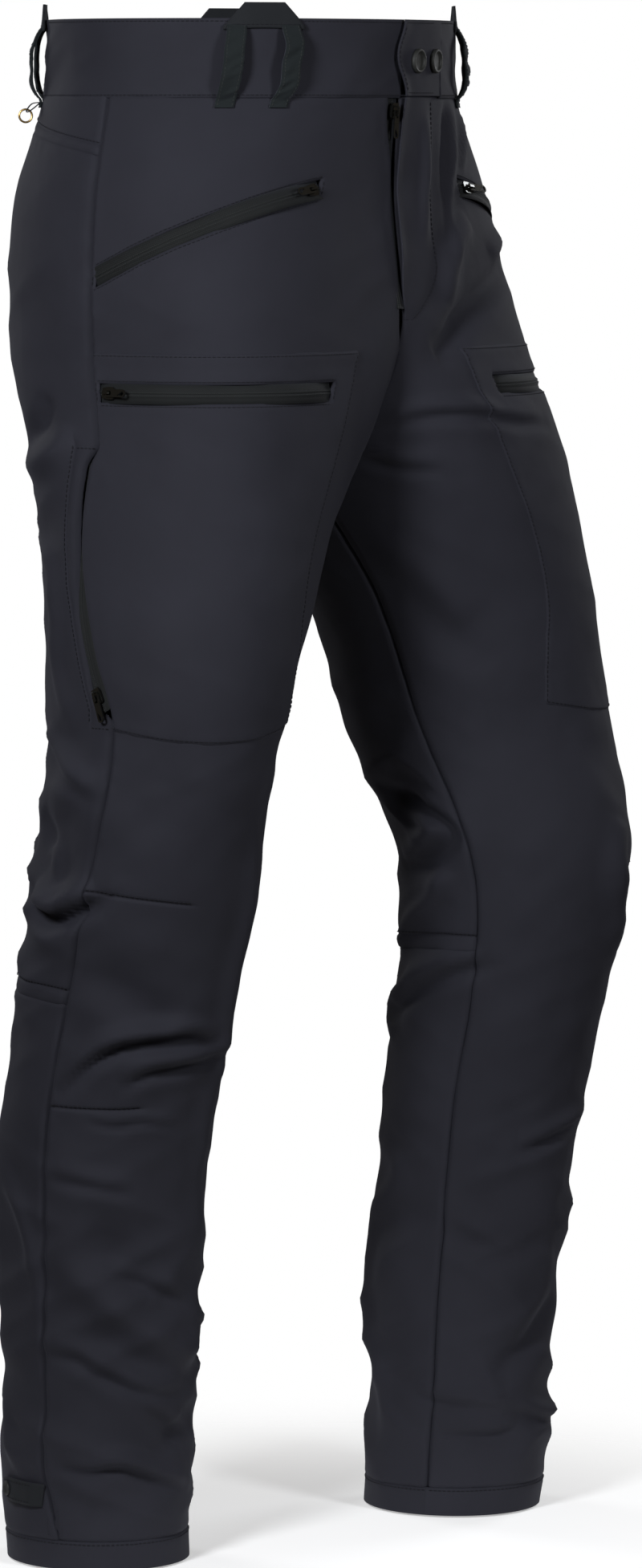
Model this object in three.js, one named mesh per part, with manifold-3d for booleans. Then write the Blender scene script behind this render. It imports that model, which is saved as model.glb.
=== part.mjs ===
import * as THREE from 'three';
import { mergeVertices } from 'three/addons/utils/BufferGeometryUtils.js';
import Module from 'manifold-3d';

const wasm = await Module();
wasm.setup();

// Forestry work trousers, standing in the worn shape with the left leg forward.
// Millimetres. +Z is up, the wearer faces -Y and the wearer's right is -X.

// ---------------------------------------------------------------- driving dimensions
const WAIST_TOP = 1055;
const BAND_HEIGHT = 52;
const CROTCH = 752;
const HEM_HEIGHT = 20;
const CLOTH = 2.4;
const SEAM_GAP = 0.3;
const SIDE_GAP = 0.8;
const SEAM_TURN = 60;
const HEM_TURN = 18;
const LAYER_GAP = 0.6;
const INSEAM_TURN = THREE.MathUtils.degToRad(15);

const BAND_BOTTOM = WAIST_TOP - BAND_HEIGHT;
const POCKET_TOP = 829;
const POCKET_BOTTOM = 583;
const THIGH_ZIP_HEIGHT = 804;
const HIP_ZIP_LOW = 879;
const YOKE_HEIGHT = 963;
const BACK_KNEE_HEIGHT = 391;
const FLY_BOTTOM = 850;
const FLY_CENTRE = 7;
const VENT_BOTTOM = 593;
const VENT_TOP = 767;
const VENT_BOW = 20;
const VENT_RAMP = 34;
const ZIP_WINDOW = 15;

const TAPE_WIDTH = 11;
const TAPE_THICK = 0.8;
const TAPE_TOP = -1.2;
const COIL_WIDTH = 4.6;
const COIL_THICK = 1.4;
const SLIDER_LENGTH = 11;
const SLIDER_WIDTH = 8.4;
const PULL_LENGTH = 19;
const PULL_WIDTH = 5.4;
const PULL_THICK = 1.1;
const PULL_LIFT = THREE.MathUtils.degToRad(3);
const STUD_RADIUS = 8.5;
const LOOP_WIDTH = 13;
const LOOP_THICK = 1.6;
const LOOP_BOW = 10;
const LOOP_TAB_HEIGHT = 11;
const LOOP_FRONT_GIRTH = 108;
const LOOP_BACK_GIRTH = 118;
const RING_RADIUS = 5;
const RING_HEIGHT = 992;
const RING_OUT = 13;
const TAB_LENGTH = 46;
const TAB_WIDTH = 15;
const TAB_HEIGHT = 50;
const STUD_HEIGHT = 1027;
const STUD_PLACES = [15, 41];
const UNDERLAP_OUT = -3.6;

const RIGHT = -1;
const LEFT = 1;
const SIDES = [[RIGHT, 'right'], [LEFT, 'left']];

// Horizontal sections of one half of the garment, from the waist down. A section is a pair of
// half super-ellipses: centre is how far it lies from the middle plane, reach its half width,
// middle its place in depth, front and back its depths each way, with the power of each curve.
// Stride moves the right leg back and the left leg forward, and skew turns the section outwards.
const SECTION_KEYS = [
  'z', 'centre', 'reach', 'middle', 'front', 'back', 'frontPower', 'backPower', 'stride', 'skew',
];
const SECTIONS = [
  [WAIST_TOP, 0, 164, 2, 126, 130, 2, 2, 0, 0],
  [1005, 0, 166, 4, 126, 128, 2.1, 2, 0, 0],
  [936, 18, 170, 0, 118, 138, 2.7, 2.2, 0, 0],
  [876, 45, 150, -2, 123, 132, 3, 2.3, 0, 0],
  [820, 80, 118, -11, 121, 114, 3, 2.5, 5, 0],
  [CROTCH, 106, 103, -32, 109, 98, 2.6, 2.5, 15, 0.04],
  [642, 138, 89, -52, 95, 95, 2.1, 2.1, 20, 0.14],
  [557, 150, 83, -59, 87, 87, 2, 2, 30, 0.2],
  [477, 154, 77, -67, 81, 81, 2, 2, 47, 0.1],
  [397, 154, 72, -56, 76, 76, 2, 2, 52, 0],
  [297, 153, 69, -37, 73, 73, 2, 2, 53, 0],
  [177, 151, 65, -28, 68, 68, 2, 2, 50, 0],
  [77, 150, 63, -23, 66, 66, 2, 2, 49, 0],
  [0, 150, 61, -19, 64, 64, 2, 2, 46, 0],
].map((row) => Object.fromEntries(SECTION_KEYS.map((key, i) => [key, row[i]])));
const OUTLINE_STEPS = 240;

const { clamp, lerp, smoothstep: smooth } = THREE.MathUtils;

// ---------------------------------------------------------------- colours
const COLOURS = {
  shell: { color: 0x30313a, roughness: 0.85, metalness: 0 },
  facing: { color: 0x22232a, roughness: 0.9, metalness: 0 },
  lining: { color: 0x3a3b40, roughness: 0.9, metalness: 0 },
  webbing: { color: 0x1d2322, roughness: 0.8, metalness: 0 },
  zip: { color: 0x0c0c0e, roughness: 0.6, metalness: 0 },
  slider: { color: 0x0e0e10, roughness: 0.3, metalness: 0.6 },
  stud: { color: 0x1d1d22, roughness: 0.45, metalness: 0.5 },
  brass: { color: 0x8a6a34, roughness: 0.35, metalness: 0.9 },
};

const trousers = new THREE.Group();

function addMesh(name, geometry, finish, group = trousers) {
  const mesh = new THREE.Mesh(geometry, new THREE.MeshStandardMaterial(COLOURS[finish]));
  mesh.name = name;
  group.add(mesh);
  return mesh;
}

// ---------------------------------------------------------------- garment surface

function slope(index, key) {
  const above = SECTIONS[Math.max(index - 1, 0)];
  const below = SECTIONS[Math.min(index + 1, SECTIONS.length - 1)];
  return (above[key] - below[key]) / (above.z - below.z);
}

// The section at one height, blended smoothly between the listed ones.
function sectionAt(height) {
  let index = SECTIONS.findIndex((section) => section.z <= height);
  index = Math.max(index, 1);
  const low = SECTIONS[index];
  const high = SECTIONS[index - 1];
  const span = high.z - low.z;
  const t = (height - low.z) / span;
  const section = {};
  for (const key of SECTION_KEYS) {
    const value = lerp(low[key], high[key], 3 * t ** 2 - 2 * t ** 3);
    const fromLow = (t ** 3 - 2 * t ** 2 + t) * slope(index, key);
    const fromHigh = (t ** 3 - t ** 2) * slope(index - 1, key);
    section[key] = value + (fromLow + fromHigh) * span;
  }
  return section;
}

function signedPower(value, power) {
  return Math.sign(value) * Math.abs(value) ** power;
}

// How far each end of a section stops short of a whole turn, in radians.
function sectionEnds(section, height) {
  const { centre, reach, frontPower, backPower } = section;
  if (centre <= 0) {
    return [Math.PI / 2, Math.PI / 2];
  }
  if (centre < reach) {
    const ratio = centre / reach;
    return [
      Math.PI - Math.acos(ratio ** (frontPower / 2)),
      Math.PI - Math.acos(ratio ** (backPower / 2)),
    ];
  }
  const turn = INSEAM_TURN * clamp((CROTCH - height) / 200, 0, 1);
  return [Math.PI - turn, Math.PI + turn];
}

// The height where the two legs part, found by halving.
function crotchHeight() {
  let low = CROTCH;
  let high = POCKET_TOP;
  while (high - low > 0.01) {
    const height = (low + high) / 2;
    const { centre, reach } = sectionAt(height);
    if (centre < reach) {
      high = height;
    } else {
      low = height;
    }
  }
  return high;
}

const outlines = new Map();

// Points round one half section from the front edge, round the outside, to the back edge, with
// each point's girth: its distance along the cloth from the outermost line, positive to the back.
function outline(side, height) {
  const z = clamp(height, 0, WAIST_TOP);
  const label = `${side} ${z.toFixed(3)}`;
  if (outlines.has(label)) {
    return outlines.get(label);
  }
  const section = sectionAt(z);
  const [frontEnd, backEnd] = sectionEnds(section, z);
  const points = [];
  for (let i = 0; i <= OUTLINE_STEPS; i += 1) {
    const angle = -frontEnd + (frontEnd + backEnd) * i / OUTLINE_STEPS;
    const isFront = angle < 0 || angle > Math.PI;
    const power = 2 / (isFront ? section.frontPower : section.backPower);
    const depth = isFront ? section.front : section.back;
    const across = section.reach * signedPower(Math.cos(angle), power);
    const along = depth * signedPower(Math.sin(angle), power) - section.skew * across;
    const x = Math.max(section.centre + across, 0);
    const free = smooth(Math.max(x / 60, (CROTCH - z) / 100), 0, 1);
    points.push([side * x, section.middle + along - side * section.stride * free]);
  }
  const girths = [0];
  for (let i = 1; i < points.length; i += 1) {
    const step = Math.hypot(points[i][0] - points[i - 1][0], points[i][1] - points[i - 1][1]);
    girths.push(girths[i - 1] + step);
  }
  const outermost = OUTLINE_STEPS * frontEnd / (frontEnd + backEnd);
  const below = Math.floor(outermost);
  const zero = lerp(girths[below], girths[below + 1], outermost - below);
  const result = { points, girths: girths.map((girth) => girth - zero) };
  outlines.set(label, result);
  return result;
}

const frontEdge = (side, z) => outline(side, z).girths[0];
const backEdge = (side, z) => outline(side, z).girths[OUTLINE_STEPS];

// A point on the garment, pushed out of it horizontally. A girth beyond the front edge carries
// on round the other half.
function skin(side, z, girth, out = 0) {
  const { points, girths } = outline(side, z);
  if (girth < girths[0] && z > CROTCH) {
    return skin(-side, z, 2 * girths[0] - girth, out);
  }
  let index = girths.findIndex((value) => value >= girth);
  index = index < 0 ? OUTLINE_STEPS : Math.max(index, 1);
  const from = points[index - 1];
  const to = points[index];
  const length = girths[index] - girths[index - 1];
  const t = (girth - girths[index - 1]) / length;
  const dx = (to[0] - from[0]) / length;
  const dy = (to[1] - from[1]) / length;
  const x = from[0] + dx * length * t + side * dy * out;
  const y = from[1] + dy * length * t - side * dx * out;
  return new THREE.Vector3(x, y, z);
}

// The outward direction of the garment at a point.
function facing(side, z, girth) {
  const round = skin(side, z, girth + 3).sub(skin(side, z, girth - 3));
  const up = skin(side, z + 6, girth).sub(skin(side, z - 6, girth));
  return round.cross(up).multiplyScalar(side).normalize();
}

// ---------------------------------------------------------------- closed bodies

function bodyFrom(vertices, triangles) {
  let volume = 0;
  for (const [a, b, c] of triangles) {
    volume += vertices[a].dot(vertices[b].clone().cross(vertices[c]));
  }
  const faces = volume > 0 ? triangles : triangles.map(([a, b, c]) => [a, c, b]);
  const geometry = new THREE.BufferGeometry();
  const numbers = vertices.flatMap((vertex) => vertex.toArray());
  geometry.setAttribute('position', new THREE.Float32BufferAttribute(numbers, 3));
  geometry.setIndex(faces.flat());
  geometry.computeVertexNormals();
  return geometry;
}

// A sheet with thickness over a grid. point(row, column, layer) gives the outer layer's place
// for layer 0 and the inner one's for layer 1. A skipped cell is left open.
function gridBody(rows, columns, point, { closed = false, skip = () => false } = {}) {
  const width = closed ? columns : columns + 1;
  const size = (rows + 1) * width;
  const vertices = [];
  for (const layer of [0, 1]) {
    for (let r = 0; r <= rows; r += 1) {
      for (let c = 0; c < width; c += 1) {
        vertices.push(point(r, c, layer));
      }
    }
  }
  const at = (r, c, layer) => layer * size + r * width + (c % width);
  const filled = (r, c) => {
    const column = closed ? (c + columns) % columns : c;
    return r >= 0 && r < rows && column >= 0 && column < columns && !skip(r, column);
  };
  const triangles = [];
  const quad = (a, b, c, d) => triangles.push([a, b, c], [a, c, d]);
  const wall = (r0, c0, r1, c1) => quad(at(r0, c0, 1), at(r1, c1, 1), at(r1, c1, 0), at(r0, c0, 0));
  for (let r = 0; r < rows; r += 1) {
    for (let c = 0; c < columns; c += 1) {
      if (!filled(r, c)) {
        continue;
      }
      quad(at(r, c, 0), at(r, c + 1, 0), at(r + 1, c + 1, 0), at(r + 1, c, 0));
      quad(at(r, c, 1), at(r + 1, c, 1), at(r + 1, c + 1, 1), at(r, c + 1, 1));
      if (!filled(r - 1, c)) {
        wall(r, c, r, c + 1);
      }
      if (!filled(r + 1, c)) {
        wall(r + 1, c + 1, r + 1, c);
      }
      if (!filled(r, c - 1)) {
        wall(r + 1, c, r, c);
      }
      if (!filled(r, c + 1)) {
        wall(r, c + 1, r + 1, c + 1);
      }
    }
  }
  return compactBody(vertices, triangles);
}

// Leaves out the grid points that no face uses.
function compactBody(vertices, triangles) {
  const used = [...new Set(triangles.flat())].sort((a, b) => a - b);
  const place = new Map(used.map((old, index) => [old, index]));
  return bodyFrom(used.map((old) => vertices[old]), triangles.map((face) => face.map((i) => place.get(i))));
}

// Stops that include every break and are no further apart than a step.
function stops(breaks, step) {
  const list = [breaks[0]];
  for (let i = 1; i < breaks.length; i += 1) {
    const count = Math.max(1, Math.ceil(Math.abs(breaks[i] - breaks[i - 1]) / step));
    for (let k = 1; k <= count; k += 1) {
      list.push(lerp(breaks[i - 1], breaks[i], k / count));
    }
  }
  return list;
}

// A cloth panel. Its rows are fractions of the way up from its bottom line to its top line,
// and its columns fractions from its front line to its back line.
function panel(side, rows, columns, place, { out = 0, thick = CLOTH, skip, closed } = {}) {
  const point = (r, c, layer) => {
    const [z, girth] = place(rows[r], columns[c]);
    return skin(side, z, girth, out - layer * thick);
  };
  const columnCount = closed ? columns.length : columns.length - 1;
  return gridBody(rows.length - 1, columnCount, point, { closed, skip });
}

function fractions(count) {
  return Array.from({ length: count + 1 }, (unused, i) => i / count);
}

// ---------------------------------------------------------------- seam lines

// The side seam runs down the outermost line and turns forward at the hem.
function sideSeam(z) {
  const upVent = clamp((z - VENT_BOTTOM) / (VENT_TOP - VENT_BOTTOM), 0, 1);
  return VENT_BOW * Math.sin(Math.PI * upVent) - HEM_TURN * clamp(1 - z / SEAM_TURN, 0, 1);
}

// The side vent's zip fills the gap between the front and back panels.
function ventGap(z) {
  const opens = smooth(z, VENT_BOTTOM - VENT_RAMP, VENT_BOTTOM - 4);
  const closes = smooth(z, VENT_TOP + 4, VENT_TOP + VENT_RAMP);
  return (ZIP_WINDOW + 2) * opens * (1 - closes);
}

// The inner edge of the thigh pocket panel.
function pocketEdge(z) {
  return -lerp(155, 222, smooth(z, 640, 850));
}

function yokeLine(t) {
  return YOKE_HEIGHT + 14 * Math.sin(t * Math.PI / 2);
}

function kneeLine(t) {
  return BACK_KNEE_HEIGHT + 16 * t;
}

// The hip zip climbs from the side seam to the front.
function hipZipLine(girth) {
  return HIP_ZIP_LOW + 64 * Math.sin(clamp(-girth / 190, 0, 1) * Math.PI / 2 * 0.9);
}

// ---------------------------------------------------------------- front panels

function frontHip(side) {
  const flyInset = side === RIGHT ? 13 : 1;
  const slotStart = -172;
  const slotEnd = -4;
  const front = (z) => {
    const besideFly = smooth(z, FLY_BOTTOM - 22, FLY_BOTTOM - 4);
    return frontEdge(side, z) + lerp(SEAM_GAP, flyInset, besideFly);
  };
  const heights = stops([POCKET_TOP + SEAM_GAP, hipZipLine(slotEnd) - ZIP_WINDOW / 2], 16);
  const lowerRows = heights.length - 1;
  const upperRows = 6;
  const columns = [
    ...stops([0, 1], 0.25).slice(0, -1),
    ...stops([slotStart, slotEnd], 19),
    0,
  ];
  const slotColumn = columns.indexOf(slotStart);
  const lastSlotColumn = columns.indexOf(slotEnd);
  const point = (r, c, layer) => {
    const girthAt = (z) => {
      if (c < slotColumn) {
        return lerp(front(z), slotStart, columns[c]);
      }
      return c === columns.length - 1 ? sideSeam(z) - SIDE_GAP : columns[c];
    };
    const zipHeight = hipZipLine(Math.max(columns[Math.max(c, slotColumn)], slotStart));
    let z;
    if (r <= lowerRows) {
      z = lerp(POCKET_TOP + SEAM_GAP, zipHeight - ZIP_WINDOW / 2, r / lowerRows);
    } else {
      z = lerp(zipHeight + ZIP_WINDOW / 2, BAND_BOTTOM - SEAM_GAP, (r - lowerRows - 1) / (upperRows - 1));
    }
    return skin(side, z, girthAt(z), -layer * CLOTH);
  };
  const skip = (r, c) => r === lowerRows && c >= slotColumn && c < lastSlotColumn;
  return gridBody(lowerRows + upperRows, columns.length - 1, point, { skip });
}

function thighPocket(side) {
  const slotLow = THIGH_ZIP_HEIGHT - ZIP_WINDOW / 2;
  const slotHigh = THIGH_ZIP_HEIGHT + ZIP_WINDOW / 2;
  const rows = stops(
    [POCKET_BOTTOM + SEAM_GAP, VENT_BOTTOM, VENT_TOP, slotLow, slotHigh, POCKET_TOP - SEAM_GAP],
    26,
  );
  const columns = [0, ...stops([0.1, 0.985], 0.1), 1];
  const skip = (r, c) => {
    const inSlot = rows[r] >= slotLow && rows[r + 1] <= slotHigh;
    return inSlot && c > 0 && c < columns.length - 2;
  };
  const place = (z, t) => {
    return [z, lerp(pocketEdge(z) + SIDE_GAP, sideSeam(z) - SIDE_GAP, t)];
  };
  return panel(side, rows, columns, place, { out: 0.8, thick: CLOTH, skip });
}

// Rows close together just above the fork, where the rise curves under quickly.
const FORK = crotchHeight();
const FORK_HEIGHTS = [0, 2, 8, 22].map((rise) => FORK + rise);

function frontInner(side) {
  const rows = stops([POCKET_BOTTOM + SEAM_GAP, ...FORK_HEIGHTS, POCKET_TOP - SEAM_GAP], 28);
  const place = (z, t) => [z, lerp(frontEdge(side, z) + SIDE_GAP, pocketEdge(z) - SIDE_GAP, t)];
  return panel(side, rows, fractions(6), place);
}

function frontLowerLeg(side) {
  const rows = stops([HEM_HEIGHT + SEAM_GAP, SEAM_TURN, POCKET_BOTTOM - SEAM_GAP], 31);
  const place = (z, t) => [z, lerp(frontEdge(side, z) + SEAM_GAP, sideSeam(z) - SIDE_GAP, t)];
  return panel(side, rows, fractions(8), place);
}

// ---------------------------------------------------------------- back panels

function backPanel(side, low, high, rowCount, breaks = []) {
  const rows = stops([0, ...breaks, 1], 1 / rowCount);
  const place = (row, t) => {
    const z = lerp(low(t) + SEAM_GAP, high(t) - SEAM_GAP, row);
    const seam = sideSeam(z) + ventGap(z) + SIDE_GAP;
    return [z, lerp(seam, backEdge(side, z) - SIDE_GAP, t)];
  };
  return panel(side, rows, fractions(8), place);
}

// ---------------------------------------------------------------- waist

function band(side, low, high, from, to, out, thick, count) {
  const place = (z, t) => [z, lerp(from(z), to(z), t)];
  return panel(side, [low, high], fractions(count), place, { out, thick });
}

const FLAP_ROOT = 52;
const FLAP_LIP = 5;
const fromCentre = (side, distance) => (z) => frontEdge(side, z) + distance;
const toBack = (side) => (z) => backEdge(side, z) - SEAM_GAP;

// The lining strip inside the waistband, one piece from the right front round the back.
function waistFacing() {
  const low = BAND_BOTTOM + 3;
  const high = WAIST_TOP - 3;
  const place = [];
  for (const t of fractions(16)) {
    place.push([RIGHT, (z) => lerp(frontEdge(RIGHT, z) + 4, backEdge(RIGHT, z), t)]);
  }
  for (const t of fractions(13).slice(1)) {
    place.push([LEFT, (z) => lerp(backEdge(LEFT, z), frontEdge(LEFT, z) + FLAP_ROOT + 14, t)]);
  }
  const point = (r, c, layer) => {
    const [side, girth] = place[c];
    const z = r === 0 ? low : high;
    return skin(side, z, girth(z), -CLOTH - LAYER_GAP - layer * 1.2);
  };
  return gridBody(1, place.length - 1, point);
}

function addWaist() {
  for (const [side, word] of SIDES) {
    const start = side === RIGHT ? SEAM_GAP : FLAP_ROOT + SEAM_GAP;
    const waistband = band(
      side, BAND_BOTTOM, WAIST_TOP, fromCentre(side, start), toBack(side), 0, CLOTH, 18,
    );
    addMesh(`waistband_${word}`, waistband, 'shell');
  }
  addMesh('waistband_facing', waistFacing(), 'facing');
  const underlap = band(
    LEFT, BAND_BOTTOM + 1, WAIST_TOP - 1, fromCentre(LEFT, SEAM_GAP), fromCentre(LEFT, FLAP_ROOT + 8),
    UNDERLAP_OUT, CLOTH, 5,
  );
  const posts = STUD_PLACES.map((place) => {
    const post = new THREE.CylinderGeometry(3.6, 3.6, 3.6, 16).rotateX(Math.PI / 2);
    return placed(post, LEFT, STUD_HEIGHT, frontEdge(LEFT, STUD_HEIGHT) + place, UNDERLAP_OUT + 1.5);
  });
  addMesh('waist_underlap', joined([underlap, ...posts]), 'shell');
  const flap = band(
    LEFT, BAND_BOTTOM, WAIST_TOP, fromCentre(LEFT, -FLAP_LIP), fromCentre(LEFT, FLAP_ROOT),
    LAYER_GAP + CLOTH, CLOTH, 6,
  );
  addMesh('waist_flap', flap, 'shell');
  STUD_PLACES.forEach((place, i) => {
    const cap = studCap(STUD_RADIUS, 3);
    const out = LAYER_GAP + CLOTH + 0.5;
    const girth = frontEdge(LEFT, STUD_HEIGHT) + place;
    addMesh(`waist_stud_${i + 1}`, placed(cap, LEFT, STUD_HEIGHT, girth, out), 'stud');
  });
}

function addFly() {
  const heights = stops([FLY_BOTTOM, FLY_BOTTOM + 12, FLY_BOTTOM + 40, BAND_BOTTOM - 1], 30);
  const stitched = (z) => 42 * Math.sqrt(smooth(z, FLY_BOTTOM - 6, FLY_BOTTOM + 40));
  const placketPlace = (z, t) => [z, frontEdge(LEFT, z) + lerp(0.4, stitched(z), t)];
  const placket = panel(LEFT, heights, fractions(4), placketPlace, { out: LAYER_GAP + 1.8, thick: 1.8 });
  addMesh('fly_placket', placket, 'shell');
  const shieldPlace = (z, t) => [z, frontEdge(LEFT, z) + lerp(-24, 30, t)];
  const shield = panel(LEFT, heights, fractions(4), shieldPlace, { out: -9, thick: 1.6 });
  addMesh('fly_underlap', shield, 'facing');
}

// ---------------------------------------------------------------- brace loops

// A double loop for braces or a belt: two straps that bow out from the waistband and a tab that
// joins them above it. Each row gives a height, a distance out and the half width of the whole.
const LOOP_ROWS = [
  [BAND_BOTTOM - 8, LAYER_GAP, 28],
  [BAND_BOTTOM - 3, LAYER_GAP, 28],
  [BAND_BOTTOM + 2, LOOP_BOW * 0.55, 28],
  [BAND_BOTTOM + 9, LOOP_BOW * 0.9, 28],
  [BAND_BOTTOM + 20, LOOP_BOW, 28],
  [BAND_BOTTOM + 31, LOOP_BOW * 0.9, 28],
  [BAND_BOTTOM + 38, LOOP_BOW * 0.55, 28],
  [BAND_BOTTOM + 42, LAYER_GAP, 28],
  [WAIST_TOP - 2, LAYER_GAP, 27],
  [WAIST_TOP + LOOP_TAB_HEIGHT, LAYER_GAP, 14],
];
const LOOP_TAB_ROW = 7;

function braceLoop(side, girth) {
  const point = (r, c, layer) => {
    const [z, out, half] = LOOP_ROWS[r];
    const [nextZ, nextOut] = LOOP_ROWS[Math.min(r + 1, LOOP_ROWS.length - 1)];
    const [lastZ, lastOut] = LOOP_ROWS[Math.max(r - 1, 0)];
    const length = Math.hypot(nextZ - lastZ, nextOut - lastOut);
    const away = layer === 0 ? LOOP_THICK : 0;
    const height = z - away * (nextOut - lastOut) / length;
    const distance = out + away * (nextZ - lastZ) / length;
    const inner = Math.max(half - LOOP_WIDTH, 2);
    const across = [-half, -inner, 0, inner, half][c];
    return skin(side, height, girth + across, distance);
  };
  const skip = (r, c) => r < LOOP_TAB_ROW && (c === 1 || c === 2);
  return gridBody(LOOP_ROWS.length - 1, 4, point, { skip });
}

function addBraceLoops() {
  for (const [side, word] of SIDES) {
    addMesh(`brace_loop_front_${word}`, braceLoop(side, -LOOP_FRONT_GIRTH), 'webbing');
    addMesh(`brace_loop_back_${word}`, braceLoop(side, LOOP_BACK_GIRTH), 'webbing');
  }
  const spot = skin(RIGHT, RING_HEIGHT, LOOP_BACK_GIRTH - 20, RING_OUT);
  const outward = spot.clone().sub(skin(RIGHT, RING_HEIGHT, LOOP_BACK_GIRTH - 20));
  const ring = new THREE.TorusGeometry(RING_RADIUS, 0.7, 6, 14);
  const holder = new THREE.Group();
  holder.position.copy(spot);
  holder.rotation.z = Math.atan2(outward.y, outward.x);
  trousers.add(holder);
  const mesh = addMesh('waist_ring', ring, 'brass', holder);
  mesh.rotation.x = Math.PI / 2;
  mesh.position.z = -RING_RADIUS;
}

// ---------------------------------------------------------------- solids by joining

function solidFrom(geometry) {
  const bare = new THREE.BufferGeometry();
  bare.setAttribute('position', geometry.getAttribute('position'));
  bare.setIndex(geometry.getIndex());
  const merged = mergeVertices(bare, 1e-3);
  return new wasm.Manifold(new wasm.Mesh({
    numProp: 3,
    vertProperties: merged.getAttribute('position').array,
    triVerts: new Uint32Array(merged.getIndex().array),
  }));
}

function joined(geometries) {
  const solids = geometries.map(solidFrom);
  const whole = solids.slice(1).reduce((sum, solid) => sum.add(solid), solids[0]);
  const mesh = whole.getMesh();
  const geometry = new THREE.BufferGeometry();
  geometry.setAttribute('position', new THREE.Float32BufferAttribute(mesh.vertProperties, 3));
  geometry.setIndex([...mesh.triVerts]);
  geometry.computeVertexNormals();
  return geometry;
}

function shapeFrom(points) {
  return new THREE.Shape(points.map(([x, y]) => new THREE.Vector2(x, y)));
}

function extruded(shape, depth, low = 0) {
  const geometry = new THREE.ExtrudeGeometry(shape, { depth, bevelEnabled: false, curveSegments: 6 });
  return geometry.translate(0, 0, low);
}

// ---------------------------------------------------------------- zips

// The circle through three points of the garment, and the frame of a zip that runs round it:
// x along the zip, y across it and z out of the cloth.
function zipArc(side, stations) {
  const [start, middle, end] = stations.map(([z, girth]) => skin(side, z, girth));
  const a = middle.clone().sub(start);
  const b = end.clone().sub(start);
  const cross = a.clone().cross(b);
  const toCentre = cross.clone().cross(a).multiplyScalar(b.lengthSq());
  toCentre.add(b.clone().cross(cross).multiplyScalar(a.lengthSq()));
  toCentre.divideScalar(2 * cross.lengthSq());
  const centre = start.clone().add(toCentre);
  const axis = cross.normalize();
  const radials = [start, middle, end].map((point) => point.clone().sub(centre));
  const radius = radials[0].length();
  const sweep = radials[0].angleTo(radials[1]) + radials[1].angleTo(radials[2]);
  radials.forEach((radial) => radial.normalize());
  const outward = facing(side, ...stations[1]);
  const tilt = Math.atan2(outward.dot(axis), outward.dot(radials[1]));
  const frameAt = (turn) => {
    const radial = radials[0].clone().applyAxisAngle(axis, turn);
    const up = radial.clone().multiplyScalar(Math.cos(tilt));
    up.add(axis.clone().multiplyScalar(Math.sin(tilt)));
    const along = axis.clone().cross(radial);
    const width = up.clone().cross(along);
    const place = centre.clone().add(radial.multiplyScalar(radius));
    return new THREE.Matrix4().makeBasis(along, width, up).setPosition(place);
  };
  return { centre, axis, radius, sweep, frameAt };
}

const COIL_TOP = TAPE_TOP + COIL_THICK;
const ZIP_SECTION = [
  [-TAPE_WIDTH / 2, TAPE_TOP - TAPE_THICK],
  [TAPE_WIDTH / 2, TAPE_TOP - TAPE_THICK],
  [TAPE_WIDTH / 2, TAPE_TOP],
  [COIL_WIDTH / 2, TAPE_TOP],
  [COIL_WIDTH / 2, COIL_TOP],
  [-COIL_WIDTH / 2, COIL_TOP],
  [-COIL_WIDTH / 2, TAPE_TOP],
  [-TAPE_WIDTH / 2, TAPE_TOP],
];

// The tape with its closed coil, as one section swept round the arc.
function zipBody(arc, from, to) {
  const steps = Math.max(6, Math.ceil((to - from) * arc.radius / 11));
  const count = ZIP_SECTION.length;
  const vertices = [];
  for (let r = 0; r <= steps; r += 1) {
    const frame = arc.frameAt(lerp(from, to, r / steps));
    for (const [y, z] of ZIP_SECTION) {
      vertices.push(new THREE.Vector3(0, y, z).applyMatrix4(frame));
    }
  }
  const triangles = [];
  for (let r = 0; r < steps; r += 1) {
    for (let k = 0; k < count; k += 1) {
      const next = (k + 1) % count;
      const low = r * count;
      const high = low + count;
      triangles.push([low + k, low + next, high + next], [low + k, high + next, high + k]);
    }
  }
  const outline2d = ZIP_SECTION.map(([y, z]) => new THREE.Vector2(y, z));
  for (const [a, b, c] of THREE.ShapeUtils.triangulateShape(outline2d, [])) {
    const last = steps * count;
    triangles.push([a, c, b], [last + a, last + b, last + c]);
  }
  return bodyFrom(vertices, triangles);
}

const PLATE_LOW = COIL_TOP + 0.4;
const PLATE_HIGH = PLATE_LOW + 1.3;
const BRIDGE_GAP = 2.2;
const BRIDGE_TOP = 0.9;
const BAR_HEIGHT = PLATE_HIGH + BRIDGE_GAP / 2;

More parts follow.
